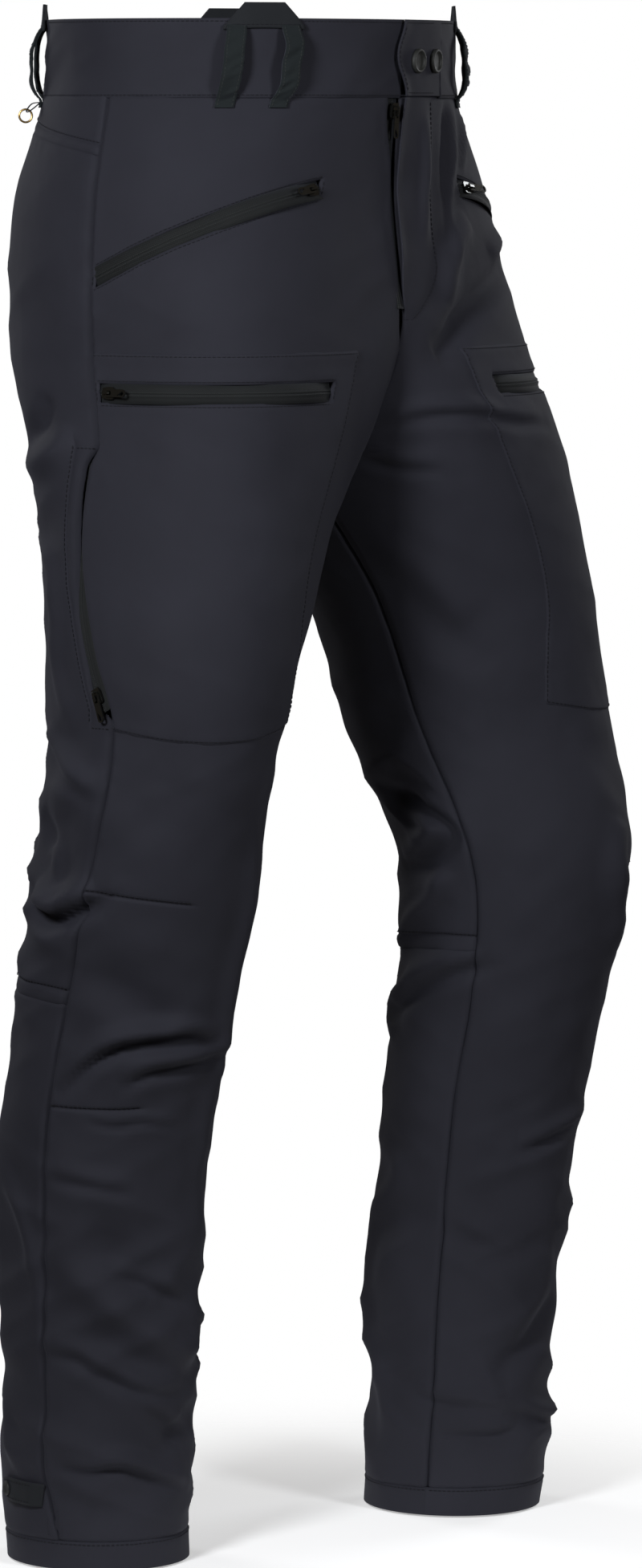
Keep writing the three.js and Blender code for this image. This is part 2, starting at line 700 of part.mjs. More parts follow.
// A zip slider: a plate over the coil, a flange down each side of it and a bridge for the pull.
function sliderBody() {
  const half = SLIDER_LENGTH / 2;
  const nose = SLIDER_WIDTH / 2;
  const tail = nose - 0.8;
  const plate = extruded(
    shapeFrom([
      [half, 1 - nose], [half, nose - 1], [half - 1.2, nose], [0, nose],
      [-half, tail], [-half, -tail], [0, -nose], [half - 1.2, -nose],
    ]),
    PLATE_HIGH - PLATE_LOW,
    PLATE_LOW,
  );
  const flangeHeight = PLATE_LOW - TAPE_TOP - 0.3;
  const flanges = [-1, 1].map((end) => {
    const flange = new THREE.BoxGeometry(SLIDER_LENGTH - 4, 0.7, flangeHeight + 0.4);
    return flange.translate(0, end * (tail - 0.4), PLATE_LOW - flangeHeight / 2 + 0.2);
  });
  const bridge = shapeFrom([
    [-3.6, -0.2], [-2.6, -0.2], [-2.6, BRIDGE_GAP - 0.6], [-2, BRIDGE_GAP], [2, BRIDGE_GAP],
    [2.6, BRIDGE_GAP - 0.6], [2.6, -0.2], [3.6, -0.2], [3.6, BRIDGE_GAP],
    [2.6, BRIDGE_GAP + BRIDGE_TOP], [-2.6, BRIDGE_GAP + BRIDGE_TOP], [-3.6, BRIDGE_GAP],
  ]);
  const arch = extruded(bridge, 1.6).rotateX(Math.PI / 2).translate(0, 0.8, PLATE_HIGH);
  return joined([plate, ...flanges, arch]);
}

// Points of a half circle that closes the far end of a pull.
function halfCircle(x, radius) {
  return fractions(8).map((t) => {
    const angle = Math.PI * (t - 0.5);
    return [x + radius * Math.cos(angle), radius * Math.sin(angle)];
  });
}

// A pull tab that hangs on the bridge by the bar at its end, with a ring to grip.
function pullBody() {
  const half = PULL_WIDTH / 2;
  const eye = half - 1.2;
  const farEnd = PULL_LENGTH - half;
  const outer = shapeFrom([[-0.55, half], [-0.55, -half], ...halfCircle(farEnd, half)]);
  outer.holes.push(shapeFrom([[0.55, -1.4], [0.55, 1.4], [5, 1.4], [5, -1.4]]));
  outer.holes.push(shapeFrom([[farEnd - 5, -eye], ...halfCircle(farEnd, eye)].reverse()));
  return extruded(outer, PULL_THICK, -PULL_THICK / 2);
}

// Every zip: its stations on the garment as [height, girth], the part of the arc that its slider
// covers, and whether the slider rests at the start of the arc or at its end. The pull lies
// along the zip, on the side of the coil that is closed, unless it hangs.
const ZIPS = [
  {
    name: 'hip',
    sides: SIDES,
    stations: () => [-8, -88, -168].map((girth) => [hipZipLine(girth), girth]),
    restAt: 'end',
    pullTowards: 'start',
  },
  {
    name: 'thigh',
    sides: SIDES,
    stations: () => [-8, -98, -188].map((girth) => [THIGH_ZIP_HEIGHT, girth]),
    restAt: 'start',
    pullTowards: 'end',
  },
  {
    name: 'vent',
    sides: SIDES,
    stations: () => {
      const heights = [VENT_TOP - 4, (VENT_TOP + VENT_BOTTOM) / 2, VENT_BOTTOM + 4];
      return heights.map((z) => [z, sideSeam(z) + ventGap(z) / 2]);
    },
    restAt: 'end',
    pullTowards: 'end',
  },
  {
    name: 'fly',
    sides: [[RIGHT, '']],
    stations: (side) => {
      const heights = [BAND_BOTTOM - 4, (BAND_BOTTOM + FLY_BOTTOM) / 2 + 4, FLY_BOTTOM + 14];
      return heights.map((z) => [z, frontEdge(side, z) + FLY_CENTRE]);
    },
    restAt: 'start',
    pullTowards: 'end',
  },
];

function addZip({ name, sides, stations, restAt, pullTowards }) {
  for (const [side, word] of sides) {
    const suffix = word ? `_${word}` : '';
    const arc = zipArc(side, stations(side));
    const margin = SLIDER_LENGTH / 2 / arc.radius + 0.5 / arc.radius;
    addMesh(`${name}_zip${suffix}`, zipBody(arc, 0, arc.sweep), 'zip');
    const restTurn = restAt === 'start' ? margin : arc.sweep - margin;
    const holder = new THREE.Group();
    holder.applyMatrix4(arc.frameAt(restTurn));
    trousers.add(holder);
    addMesh(`${name}_slider${suffix}`, sliderBody(), 'slider', holder);
    const pull = addMesh(`${name}_pull${suffix}`, pullBody(), 'slider', holder);
    pull.position.z = BAR_HEIGHT;
    pull.rotation.set(0, -PULL_LIFT, pullTowards === 'end' ? 0 : Math.PI, 'ZYX');
    // The circle that the slider runs round, kept with the model for whoever moves it.
    holder.userData = { arc, restTurn, travel: arc.sweep - 2 * margin, restAt, pull };
    holder.name = `${name}${suffix}_runner`;
  }
}

// ---------------------------------------------------------------- fasteners

// A low domed stud cap, axis along +Z.
function studCap(radius, height) {
  const profile = [
    [0, 0], [radius - 0.6, 0], [radius, 0.7], [radius - 0.5, height * 0.7],
    [radius * 0.72, height * 0.75], [radius * 0.62, height * 0.5], [0, height * 0.55],
  ];
  const cap = new THREE.LatheGeometry(profile.map(([x, y]) => new THREE.Vector2(x, y)), 14);
  return cap.rotateX(Math.PI / 2);
}

// A geometry with its axis along +Z, set on the garment facing out.
function placed(geometry, side, z, girth, out) {
  const turn = new THREE.Quaternion();
  turn.setFromUnitVectors(new THREE.Vector3(0, 0, 1), facing(side, z, girth));
  geometry.applyQuaternion(turn);
  return geometry.translate(...skin(side, z, girth, out).toArray());
}

function addHemTabs() {
  for (const [side, word] of SIDES) {
    const rows = [TAB_HEIGHT - TAB_WIDTH / 2, TAB_HEIGHT + TAB_WIDTH / 2];
    const place = (z, t) => [z, lerp(1, TAB_LENGTH, t)];
    const tab = panel(side, rows, fractions(5), place, { out: LAYER_GAP + 1.8, thick: 1.6 });
    addMesh(`hem_tab_${word}`, tab, 'webbing');
    const cap = studCap(5, 2);
    addMesh(`hem_stud_${word}`, placed(cap, side, TAB_HEIGHT, TAB_LENGTH - 8, LAYER_GAP + 2.3), 'stud');
  }
}

// ---------------------------------------------------------------- assembly

function hemBand(side) {
  const place = (z, t) => [z, lerp(frontEdge(side, z), backEdge(side, z), t)];
  const columns = fractions(22).slice(0, -1);
  return panel(side, [0, HEM_HEIGHT], columns, place, { closed: true });
}

function hipBag(side) {
  const place = (row, t) => {
    const girth = lerp(-164, -12, t);
    return [lerp(POCKET_TOP + 6, hipZipLine(girth) - 9, row), girth];
  };
  return panel(side, fractions(3), fractions(9), place, { out: -7, thick: 2 });
}

function thighBag(side) {
  const place = (z, t) => [z, lerp(pocketEdge(z) + 10, -12, t)];
  return panel(side, stops([650, THIGH_ZIP_HEIGHT - 12], 30), fractions(9), place, { out: -5, thick: 2 });
}

function addPanels() {
  const ventBreaks = [VENT_BOTTOM - VENT_RAMP, VENT_BOTTOM - 4, VENT_TOP + 4, VENT_TOP + VENT_RAMP];
  const backFractions = ventBreaks.map((z) => (z - kneeLine(0)) / (yokeLine(0) - kneeLine(0)));
  const forkFractions = FORK_HEIGHTS.map((z) => (z - kneeLine(1)) / (yokeLine(1) - kneeLine(1)));
  backFractions.push(...forkFractions);
  backFractions.sort((a, b) => a - b);
  const seamTurn = (SEAM_TURN - HEM_HEIGHT) / (kneeLine(0) - HEM_HEIGHT);
  for (const [side, word] of SIDES) {
    addMesh(`front_hip_${word}`, frontHip(side), 'shell');
    addMesh(`thigh_pocket_${word}`, thighPocket(side), 'shell');
    addMesh(`front_inner_${word}`, frontInner(side), 'shell');
    addMesh(`front_lower_leg_${word}`, frontLowerLeg(side), 'shell');
    addMesh(`back_yoke_${word}`, backPanel(side, yokeLine, () => BAND_BOTTOM, 1), 'shell');
    addMesh(`back_thigh_${word}`, backPanel(side, kneeLine, yokeLine, 18, backFractions), 'shell');
    addMesh(`back_calf_${word}`, backPanel(side, () => HEM_HEIGHT, kneeLine, 12, [seamTurn]), 'shell');
    addMesh(`hem_band_${word}`, hemBand(side), 'shell');
    addMesh(`hip_pocket_bag_${word}`, hipBag(side), 'lining');
    addMesh(`thigh_pocket_bag_${word}`, thighBag(side), 'lining');
  }
}

addPanels();
addWaist();
addFly();
addBraceLoops();
addHemTabs();
ZIPS.forEach(addZip);

// The origin is on the floor, under the middle of the garment's box.
const middle = new THREE.Box3().setFromObject(trousers).getCenter(new THREE.Vector3());
trousers.position.set(-middle.x, -middle.y, 0);

export default trousers;
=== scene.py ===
"""Forestry work trousers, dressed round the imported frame.

The cloth lies on the same surface as the frame: a family of horizontal sections. A place on it is
a side, a height and a girth, which is the distance along the cloth from the garment's outermost
line, negative to the front. Lengths are millimetres until a mesh is made.
"""
import math

import bpy
import numpy as np
from mathutils import Matrix, Vector


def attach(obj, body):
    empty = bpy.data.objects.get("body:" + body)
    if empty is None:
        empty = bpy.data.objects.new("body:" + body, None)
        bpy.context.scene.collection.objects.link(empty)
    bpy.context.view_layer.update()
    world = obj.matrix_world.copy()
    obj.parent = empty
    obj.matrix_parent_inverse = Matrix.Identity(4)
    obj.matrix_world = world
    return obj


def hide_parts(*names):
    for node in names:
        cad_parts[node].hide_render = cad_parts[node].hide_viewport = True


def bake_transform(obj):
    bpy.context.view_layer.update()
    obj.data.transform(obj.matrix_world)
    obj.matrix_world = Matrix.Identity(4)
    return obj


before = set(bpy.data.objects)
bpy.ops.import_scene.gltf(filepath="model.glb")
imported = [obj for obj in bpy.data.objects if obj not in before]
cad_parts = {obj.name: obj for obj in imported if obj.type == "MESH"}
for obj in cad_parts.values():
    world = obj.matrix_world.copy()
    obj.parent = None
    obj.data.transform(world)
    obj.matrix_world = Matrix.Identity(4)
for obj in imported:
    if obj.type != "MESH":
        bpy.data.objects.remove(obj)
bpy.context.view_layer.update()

# ---- driving dimensions
MM = 0.001
RIGHT, LEFT = -1, 1
SIDES = ((RIGHT, "right"), (LEFT, "left"))
WORDS = dict(SIDES)
ROOT = "garment"

WAIST_TOP = 1055
BAND_BOTTOM = 1003
CROTCH = 752
HEM_HEIGHT = 20
POCKET_TOP = 829
POCKET_BOTTOM = 583
THIGH_ZIP_HEIGHT = 804
HIP_ZIP_LOW = 879
HIP_ZIP_RISE = 64
HIP_ZIP_REACH = 190
YOKE_HEIGHT = 963
YOKE_RISE = 24
KNEE_DART_LOW = 321
KNEE_DART_HIGH = 471
BACK_KNEE_HEIGHT = 391
BACK_KNEE_RISE = 16
BACK_WIDTH = 230
FLY_BOTTOM = 850
FLY_CENTRE = 7
VENT_BOTTOM = 593
VENT_FOOT = 581
VENT_TOP = 767
VENT_BOW = 20
SEAM_TURN = 60
HEM_TURN = 18
ZIP_WINDOW = 15
STUD_HEIGHT = 1027
STUD_PLACES = (15, 41)
FLAP_ROOT = 52
FLAP_MIDDLE = 1029
FLAP_CURL = 3.6
FLAP_OUT = 3.0
# Radius and height of the studs.
WAIST_CAP = (8.5, 3.0)
WAIST_POST = (3.6, 3.4)
HEM_CAP = (5, 2.2)
PLACKET_OUT = 2.4
PLACKET_WIDTH = 42
SHIELD_DEPTH = 9.3
UNDERLAP_DEPTH = 3.7
POST_DEPTH = 3.8
FACING_DEPTH = 3.0
FACING_CLOTH = 1.1
PATCH_OUT = 0.8
LOOP_GIRTHS = (("front", -108), ("back", 118))
TAB_HEIGHT = 50
TAB_LENGTH = 46
HEM_STUD_PLACE = 38
INSEAM_TURN = math.radians(15)
ORIGIN_SHIFT = (0.075, 28.727)

CLOTH = 1.3
TAB_CLOTH = 1.5
LINING = 0.8
HIP_BAG_DEPTH = 6.5
THIGH_BAG_DEPTH = 5.5
THIGH_BAG_LOW = 650
SEAM_GAP = -0.5
GRID_STEP = 3.2
EDGE_STOPS = (0.0, 0.7, 1.6, 3.0)

# The garment's sections: height, centre, reach, middle, front, back, the powers of the front
# and back curves, stride and skew, as in the frame.
SECTIONS = np.array([
    (1055, 0, 164, 2, 126, 130, 2, 2, 0, 0),
    (1005, 0, 166, 4, 126, 128, 2.1, 2, 0, 0),
    (936, 18, 170, 0, 118, 138, 2.7, 2.2, 0, 0),
    (876, 45, 150, -2, 123, 132, 3, 2.3, 0, 0),
    (820, 80, 118, -11, 121, 114, 3, 2.5, 5, 0),
    (752, 106, 103, -32, 109, 98, 2.6, 2.5, 15, 0.04),
    (642, 138, 89, -52, 95, 95, 2.1, 2.1, 20, 0.14),
    (557, 150, 83, -59, 87, 87, 2, 2, 30, 0.2),
    (477, 154, 77, -67, 81, 81, 2, 2, 47, 0.1),
    (397, 154, 72, -56, 76, 76, 2, 2, 52, 0),
    (297, 153, 69, -37, 73, 73, 2, 2, 53, 0),
    (177, 151, 65, -28, 68, 68, 2, 2, 50, 0),
    (77, 150, 63, -23, 66, 66, 2, 2, 49, 0),
    (0, 150, 61, -19, 64, 64, 2, 2, 46, 0),
])[::-1]

# ---- camera and light

VIEW_TURN = math.radians(55)
VIEW_DISTANCE = 5
VIEW_RISE = 0.468
VIEW_ACROSS = 0.0456
VIEW_HEIGHT = 0.524
LENS = 164.8
AMBIENT = 0.065
DAYLIGHT = (0.95, 0.97, 1.0)
WARM = (1.0, 0.84, 0.66)
FLOOR_RADIUS = 0.6
FLOOR_FADE = (0.15, 0.55)
FLOOR_DROP = 0.0015
# Each light's place, target, size and power.
LIGHTS = {
    "right": ((-1.7, -0.3, 1.35), (0, 0, 0.72), 0.45, 27),
    "front": ((-0.4, -1.8, 1.35), (0, 0, 0.62), 0.5, 16),
    "left": ((2.0, -0.3, 1.3), (0, 0, 0.6), 0.9, 11),
    "back": ((0.4, 2.2, 1.5), (0, 0, 0.6), 0.9, 11),
}


def put_in_scene(thing, place, target):
    """Puts a camera or a light in its place, aimed at its target."""
    bpy.context.scene.collection.objects.link(thing)
    thing.location = place
    direction = Vector(target) - thing.location
    thing.rotation_euler = direction.to_track_quat("-Z", "Y").to_euler()


def add_camera():
    """The photo's view: from the wearer's front right, a little above the middle."""
    across = Vector((math.cos(VIEW_TURN), -math.sin(VIEW_TURN), 0))
    away = Vector((-math.sin(VIEW_TURN), -math.cos(VIEW_TURN), 0)) * VIEW_DISTANCE
    middle = Vector((ORIGIN_SHIFT[0] * MM, ORIGIN_SHIFT[1] * MM, VIEW_HEIGHT))
    target = middle + across * VIEW_ACROSS
    camera = bpy.data.objects.new("camera", bpy.data.cameras.new("camera"))
    put_in_scene(camera, target + away + Vector((0, 0, VIEW_RISE)), target)
    camera.data.lens = LENS
    bpy.context.scene.camera = camera


def add_light(name, place, target, size, power):
    data = bpy.data.lights.new(name, "AREA")
    data.color = DAYLIGHT
    data.shape = "DISK"
    data.size = size
    data.energy = power
    put_in_scene(bpy.data.objects.new(name, data), place, target)


def add_world():
    """A white backdrop that lights the garment dimly, in a warmer tone than it shows."""
    world = bpy.data.worlds.new("studio")
    world.use_nodes = True
    tree = world.node_tree
    background = tree.nodes["Background"]
    path = add_node(tree, "LightPath")
    tint = add_node(tree, "MixRGB", {"Color1": (*WARM, 1), "Color2": (1, 1, 1, 1)})
    strength = add_node(tree, "MapRange", {"To Min": AMBIENT})
    wire(tree, (path, "Is Camera Ray", tint, "Fac"), (tint, "Color", background, "Color"))
    wire(tree, (path, "Is Camera Ray", strength, "Value"),
         (strength, "Result", background, "Strength"))
    bpy.context.scene.world = world


def add_floor():
    """A pale floor that fades out round the garment."""
    bpy.ops.mesh.primitive_circle_add(
        vertices=96, radius=FLOOR_RADIUS, fill_type="NGON", location=(0, 0, -FLOOR_DROP)
    )
    floor = bpy.context.object
    floor.name = "floor"
    material, tree, shader = new_material("floor", {
        "Base Color": (0.85, 0.85, 0.85, 1), "Roughness": 0.95, "Specular IOR Level": 0.0,
        "Emission Color": (1, 1, 1, 1), "Emission Strength": 0.4,
    })
    place = add_node(tree, "TexCoord")
    length = add_node(tree, "VectorMath", operation="LENGTH")
    fade = add_node(
        tree, "MapRange",
        {"From Min": FLOOR_FADE[0], "From Max": FLOOR_FADE[1], "To Min": 1.0, "To Max": 0.0},
        interpolation_type="SMOOTHSTEP",
    )
    wire(tree, (place, "Object", length, 0), (length, "Value", fade, "Value"),
         (fade, "Result", shader, "Alpha"))
    floor.data.materials.append(material)


def add_studio():
    add_world()
    add_floor()
    for name, light in LIGHTS.items():
        add_light(name, *light)
    bpy.context.scene.view_settings.view_transform = "Standard"


# ---- garment surface


def smooth(value, low, high):
    t = np.clip((value - low) / (high - low), 0, 1)
    return t * t * (3 - 2 * t)


def mix(low, high, share):
    return low + (high - low) * share


def spread(*values):
    """Arrays of numbers with one common shape."""
    return [np.array(value, float) for value in np.broadcast_arrays(*values)]


def bell(distance, width):
    return np.exp(-((distance / width) ** 2))


def section_at(z):
    """The section's values at each height, blended smoothly between the listed ones."""
    heights = SECTIONS[:, 0]
    values = SECTIONS[:, 1:]
    last = len(heights) - 1
    index = np.arange(last + 1)
    after = np.minimum(index + 1, last)
    before = np.maximum(index - 1, 0)
    slopes = (values[after] - values[before]) / (heights[after] - heights[before])[:, None]
    low = np.clip(np.searchsorted(heights, z, side="right") - 1, 0, last - 1)
    span = (heights[low + 1] - heights[low])[:, None]
    t = (z[:, None] - heights[low, None]) / span
    curve = (t**3 - 2 * t**2 + t) * slopes[low] + (t**3 - t**2) * slopes[low + 1]
    return mix(values[low], values[low + 1], 3 * t**2 - 2 * t**3) + curve * span


class Surface:
    """One half of the garment, as a table of places over height and share of the girth."""

    ROWS = 528
    TURNS = 721
    COLUMNS = 401

    def __init__(self, side):
        z = np.linspace(0, WAIST_TOP, self.ROWS)
        columns = section_at(z).T[:, :, None]
        centre, reach, middle, front, back, front_power, back_power, stride, skew = columns
        height = z[:, None]
        ratio = np.clip(centre / reach, 0, 1)
        closed = centre >= reach
        turn = INSEAM_TURN * np.clip((CROTCH - height) / 200, 0, 1)
        front_end = np.where(closed, np.pi - turn, np.pi - np.arccos(ratio ** (front_power / 2)))
        back_end = np.where(closed, np.pi + turn, np.pi - np.arccos(ratio ** (back_power / 2)))
        steps = np.linspace(0, 1, self.TURNS)[None, :]
        angle = -front_end + (front_end + back_end) * steps
        is_front = (angle < 0) | (angle > np.pi)
        power = 2 / np.where(is_front, front_power, back_power)
        depth = np.where(is_front, front, back)
        across = reach * np.sign(np.cos(angle)) * np.abs(np.cos(angle)) ** power
        along = depth * np.sign(np.sin(angle)) * np.abs(np.sin(angle)) ** power - skew * across
        x = np.maximum(centre + across, 0)
        free = smooth(np.maximum(x / 60, (CROTCH - height) / 100), 0, 1)
        y = middle + along - side * stride * free
        lengths = np.hypot(np.diff(side * x, axis=1), np.diff(y, axis=1))
        girth = np.concatenate([np.zeros((self.ROWS, 1)), np.cumsum(lengths, axis=1)], axis=1)
        outermost = (front_end / (front_end + back_end))[:, 0]
        zero = [np.interp(outermost[r], steps[0], girth[r]) for r in range(self.ROWS)]
        girth -= np.array(zero)[:, None]
        self.z = z
        self.front = girth[:, 0]
        self.back = girth[:, -1]
        self.table = np.empty((self.ROWS, self.COLUMNS, 2))
        for r in range(self.ROWS):
            even = np.linspace(girth[r, 0], girth[r, -1], self.COLUMNS)
            self.table[r, :, 0] = np.interp(even, girth[r], side * x[r])
            self.table[r, :, 1] = np.interp(even, girth[r], y[r])

    def look_up(self, z, girth):
        row = np.clip(z / WAIST_TOP, 0, 1) * (self.ROWS - 1)
        front = np.interp(z, self.z, self.front)
        back = np.interp(z, self.z, self.back)
        column = np.clip((girth - front) / (back - front), 0, 1) * (self.COLUMNS - 1)
        r = np.clip(row.astype(int), 0, self.ROWS - 2)
        c = np.clip(column.astype(int), 0, self.COLUMNS - 2)
        s = (row - r)[..., None]
        t = (column - c)[..., None]
        low = mix(self.table[r, c], self.table[r, c + 1], t)
        high = mix(self.table[r + 1, c], self.table[r + 1, c + 1], t)
        return mix(low, high, s)


SURFACES = {side: Surface(side) for side, _ in SIDES}


def front_edge(side, z):
    return np.interp(z, SURFACES[side].z, SURFACES[side].front)


def back_edge(side, z):
    return np.interp(z, SURFACES[side].z, SURFACES[side].back)


def flat_place(side, z, girth):
    """The place on the bare surface. A girth past an edge goes on round: to the other half above
    the fork, and round the same leg below it."""
    z, girth = spread(z, girth)
    front = front_edge(side, z)
    back = back_edge(side, z)
    whole = back - front
    over_front = girth < front
    over_back = girth > back
    joined = z > CROTCH
    turned = np.where(over_front, girth + whole, np.where(over_back, girth - whole, girth))
    own = np.where(joined, girth, turned)
    place = SURFACES[side].look_up(z, own)
    crosses = (over_front | over_back) & joined
    if crosses.any():
        other = np.where(over_front, 2 * front - girth, 2 * back - girth)
        place = np.where(crosses[..., None], SURFACES[-side].look_up(z, other), place)
    return place


def skin(side, z, girth, out=0.0):
    """Places in the frame, in millimetres, pushed out of the garment horizontally."""
    z, girth, out = spread(z, girth, out)
    place = flat_place(side, z, girth)
    along = flat_place(side, z, girth + 1.5) - flat_place(side, z, girth - 1.5)
    along /= np.maximum(np.linalg.norm(along, axis=-1, keepdims=True), 1e-9)
    x = place[..., 0] + side * along[..., 1] * out + ORIGIN_SHIFT[0]
    y = place[..., 1] - side * along[..., 0] * out + ORIGIN_SHIFT[1]
    return np.stack([x, y, z], axis=-1)


def facing(side, z, girth):
    """The outward direction of the garment."""
    round_it = skin(side, z, girth + 3) - skin(side, z, girth - 3)
    up = skin(side, z + 6, girth) - skin(side, z - 6, girth)
    normal = side * np.cross(round_it, up)
    return normal / np.linalg.norm(normal, axis=-1, keepdims=True)


# ---- seam lines


def side_seam(z):
    up_vent = np.clip((z - VENT_BOTTOM) / (VENT_TOP - VENT_BOTTOM), 0, 1)
    return VENT_BOW * np.sin(np.pi * up_vent) - HEM_TURN * np.clip(1 - z / SEAM_TURN, 0, 1)


def vent_share(z):
    """1 inside the side vent, 0 outside it."""
    opens = smooth(z, VENT_BOTTOM - 10, VENT_BOTTOM + 4)
    closes = smooth(z, VENT_TOP - 14, VENT_TOP + 6)
    return opens * (1 - closes)


def vent_back(z):
    """How far the rear edge of the vent stands back from the side seam."""
    opening = mix(mix(14.0, 12.5, smooth(z, 606, 620)), 9.2, smooth(z, 650, 705))
    return opening * vent_share(z)


def pocket_edge(z):
    return -mix(155, 222, smooth(z, 640, 850))


def back_share(girth):
    return np.clip(girth / BACK_WIDTH, 0, 1)


def yoke_seam(girth):
    return YOKE_HEIGHT + YOKE_RISE * np.sin(back_share(girth) * np.pi / 2)


def knee_seam(girth):
    return BACK_KNEE_HEIGHT + BACK_KNEE_RISE * back_share(girth)


def hip_zip_line(girth):
    share = np.clip(-girth / HIP_ZIP_REACH, 0, 1)
    return HIP_ZIP_LOW + HIP_ZIP_RISE * np.sin(share * np.pi / 2 * 0.9)


# ---- folds


def curve_through(points, steps=6):
    """A smooth line through points, by Catmull-Rom spans."""
    p = np.array([points[0], *points, points[-1]], float)
    line = []
    for a, b, c, d in zip(p, p[1:], p[2:], p[3:]):
        for t in np.arange(steps) / steps:
            line.append(
                0.5 * (2 * b + (c - a) * t + (2 * a - 5 * b + 4 * c - d) * t**2
                       + (3 * b - a - 3 * c + d) * t**3)
            )
    line.append(p[-1])
    return np.array(line)


def line_distance(z, girth, line):
    """Signed distance from a line of (height, girth) places, and the share of the way along it.
    Positive is to the left of the way the line runs, seen with girth across and height up."""
    p = np.stack([np.asarray(girth, float).ravel(), np.asarray(z, float).ravel()], -1)
    q = line[:, ::-1]
    best = np.full(len(p), 1e9)
    signed = np.full(len(p), 1e9)
    share = np.zeros(len(p))
    count = len(q) - 1
    for k in range(count):
        step = q[k + 1] - q[k]
        length = max(np.hypot(*step), 1e-6)
        unit = step / length
        to = p - q[k]
        t = np.clip(to @ unit, 0, length)
        gap = to - t[:, None] * unit
        distance = np.hypot(gap[:, 0], gap[:, 1])
        closer = distance < best
        side = np.sign(unit[0] * to[:, 1] - unit[1] * to[:, 0])
        best = np.where(closer, distance, best)
        signed = np.where(closer, distance * side, signed)
        share = np.where(closer, (k + t / length) / count, share)
    return signed.reshape(np.shape(z)), share.reshape(np.shape(z))


# Folds that lie over the cloth, as (width, height, places), with each place a height and a girth.
# A crease is a sharp valley with the cloth above it bulging over, and a low lip under it. A swell
# is a soft rise, or a hollow where its height is negative.
CREASE_BULGE = 1.8
CREASE_VALLEY = 1.6
CREASE_LIP = 0.6
SWELL_RISE = 2.2
CREASES = {
    RIGHT: [
        (9, 5.0, [(330, -10), (350, -25), (363, -45), (367, -74), (368, -95), (362, -118)]),
        (8, 4.0, [(336, -52), (345, -66), (348, -88), (350, -109), (355, -132)]),
        (5, 1.6, [(312, -30), (309, -48), (311, -68), (306, -94)]),
        (12, 7.0, [(466, 66), (452, 44), (449, 24), (458, 2), (466, -12)]),
        (9, 3.2, [(150, -6), (147, -25), (136, -45), (124, -71), (120, -105)]),
        (8, 3.0, [(71, -12), (68, -36), (71, -56), (60, -83), (52, -110)]),
        (10, 2.6, [(118, -64), (104, -82), (88, -104), (72, -120)]),
        (8, 1.6, [(272, -6), (267, -36), (262, -62)]),
        (9, 2.4, [(206, -46), (196, -75), (182, -104)]),
    ],
    LEFT: [
        (12, 5.0, [(515, 222), (505, 250), (490, 262), (470, 232), (462, 204)]),
        (8, 2.5, [(776, -292), (783, -262), (784, -227), (778, -180), (775, -138)]),
        (8, 2.0, [(756, -306), (748, -280), (746, -250)]),
        (11, 3.5, [(357, 176), (378, 205), (392, 240), (398, 262)]),
        (9, 3.0, [(263, -150), (272, -118), (280, -84)]),
        (8, 2.6, [(76, -128), (66, -98), (62, -62)]),
        (7, 2.0, [(60, 222), (58, 262), (64, 284)]),
        (8, 1.8, [(88, 205), (81, 240), (79, 272)]),
    ],
}
SWELLS = {
    RIGHT: [
        (20, 4.5, [(215, -8), (196, -34), (176, -58), (157, -86), (149, -108), (166, -124)]),
        (24, -3.5, [(236, -30), (214, -58), (192, -84)]),
        (26, -3.0, [(420, -10), (400, -46), (376, -80)]),
        (16, 3.0, [(520, -128), (463, -130), (411, -127), (352, -127), (300, -120), (240, -122)]),
        (18, -2.8, [(520, 74), (508, 60), (496, 52)]),
        (14, 2.0, [(500, 44), (486, 40), (474, 34)]),
        (12, 3.0, [(575, 80), (551, 33), (540, 8)]),
        (16, 3.0, [(783, 28), (768, 34), (757, 60), (753, 90)]),
        (12, -3.0, [(800, 40), (781, 56), (770, 84)]),
        (14, 2.5, [(718, 90), (690, 62), (660, 58), (620, 60), (585, 42)]),
        (26, -2.5, [(100, -92), (84, -108)]),
        (12, 2.2, [(285, 56), (251, 24), (211, 10), (180, 4)]),
        (12, 2.2, [(110, 52), (75, 31), (46, 8)]),
        (30, 2.5, [(300, 60), (240, 62), (150, 60)]),
    ],
    LEFT: [
        (20, 4.0, [(498, -104), (471, -112), (445, -104), (399, -84)]),
        (12, 3.5, [(467, 246), (443, 228), (419, 189), (400, 172)]),
        (12, 2.5, [(392, 206), (359, 158), (340, 180)]),
        (26, -6.0, [(530, 268), (510, 238), (494, 220)]),
        (22, 2.2, [(700, -290), (667, -246), (640, -214)]),
        (22, -2.0, [(680, -272), (640, -238), (604, -196)]),
        (20, -4.5, [(100, -146), (122, -116), (152, -80)]),
        (16, 2.6, [(262, 162), (244, 192), (199, 152), (131, 152), (92, 174), (45, 180)]),
        (20, -2.4, [(210, 225), (194, 260), (196, 312), (170, 345)]),
        (10, 2.4, [(1000, -150), (955, -178), (927, -198), (890, -212)]),
        (9, 2.0, [(990, -204), (950, -219), (905, -240)]),
        (8, 2.0, [(992, -128), (951, -164)]),
        (8, -2.4, [(1004, -162), (966, -182), (925, -200), (884, -216)]),
        (14, 3.6, [(918, -172), (895, -207), (862, -230)]),
        (16, -5.5, [(885, -116), (858, -196), (836, -232), (824, -252)]),
        (12, 2.4, [(907, -108), (893, -152)]),
        (12, 1.6, [(806, -202), (796, -178), (790, -150)]),
    ],
}


WAVE_TABLE = 64


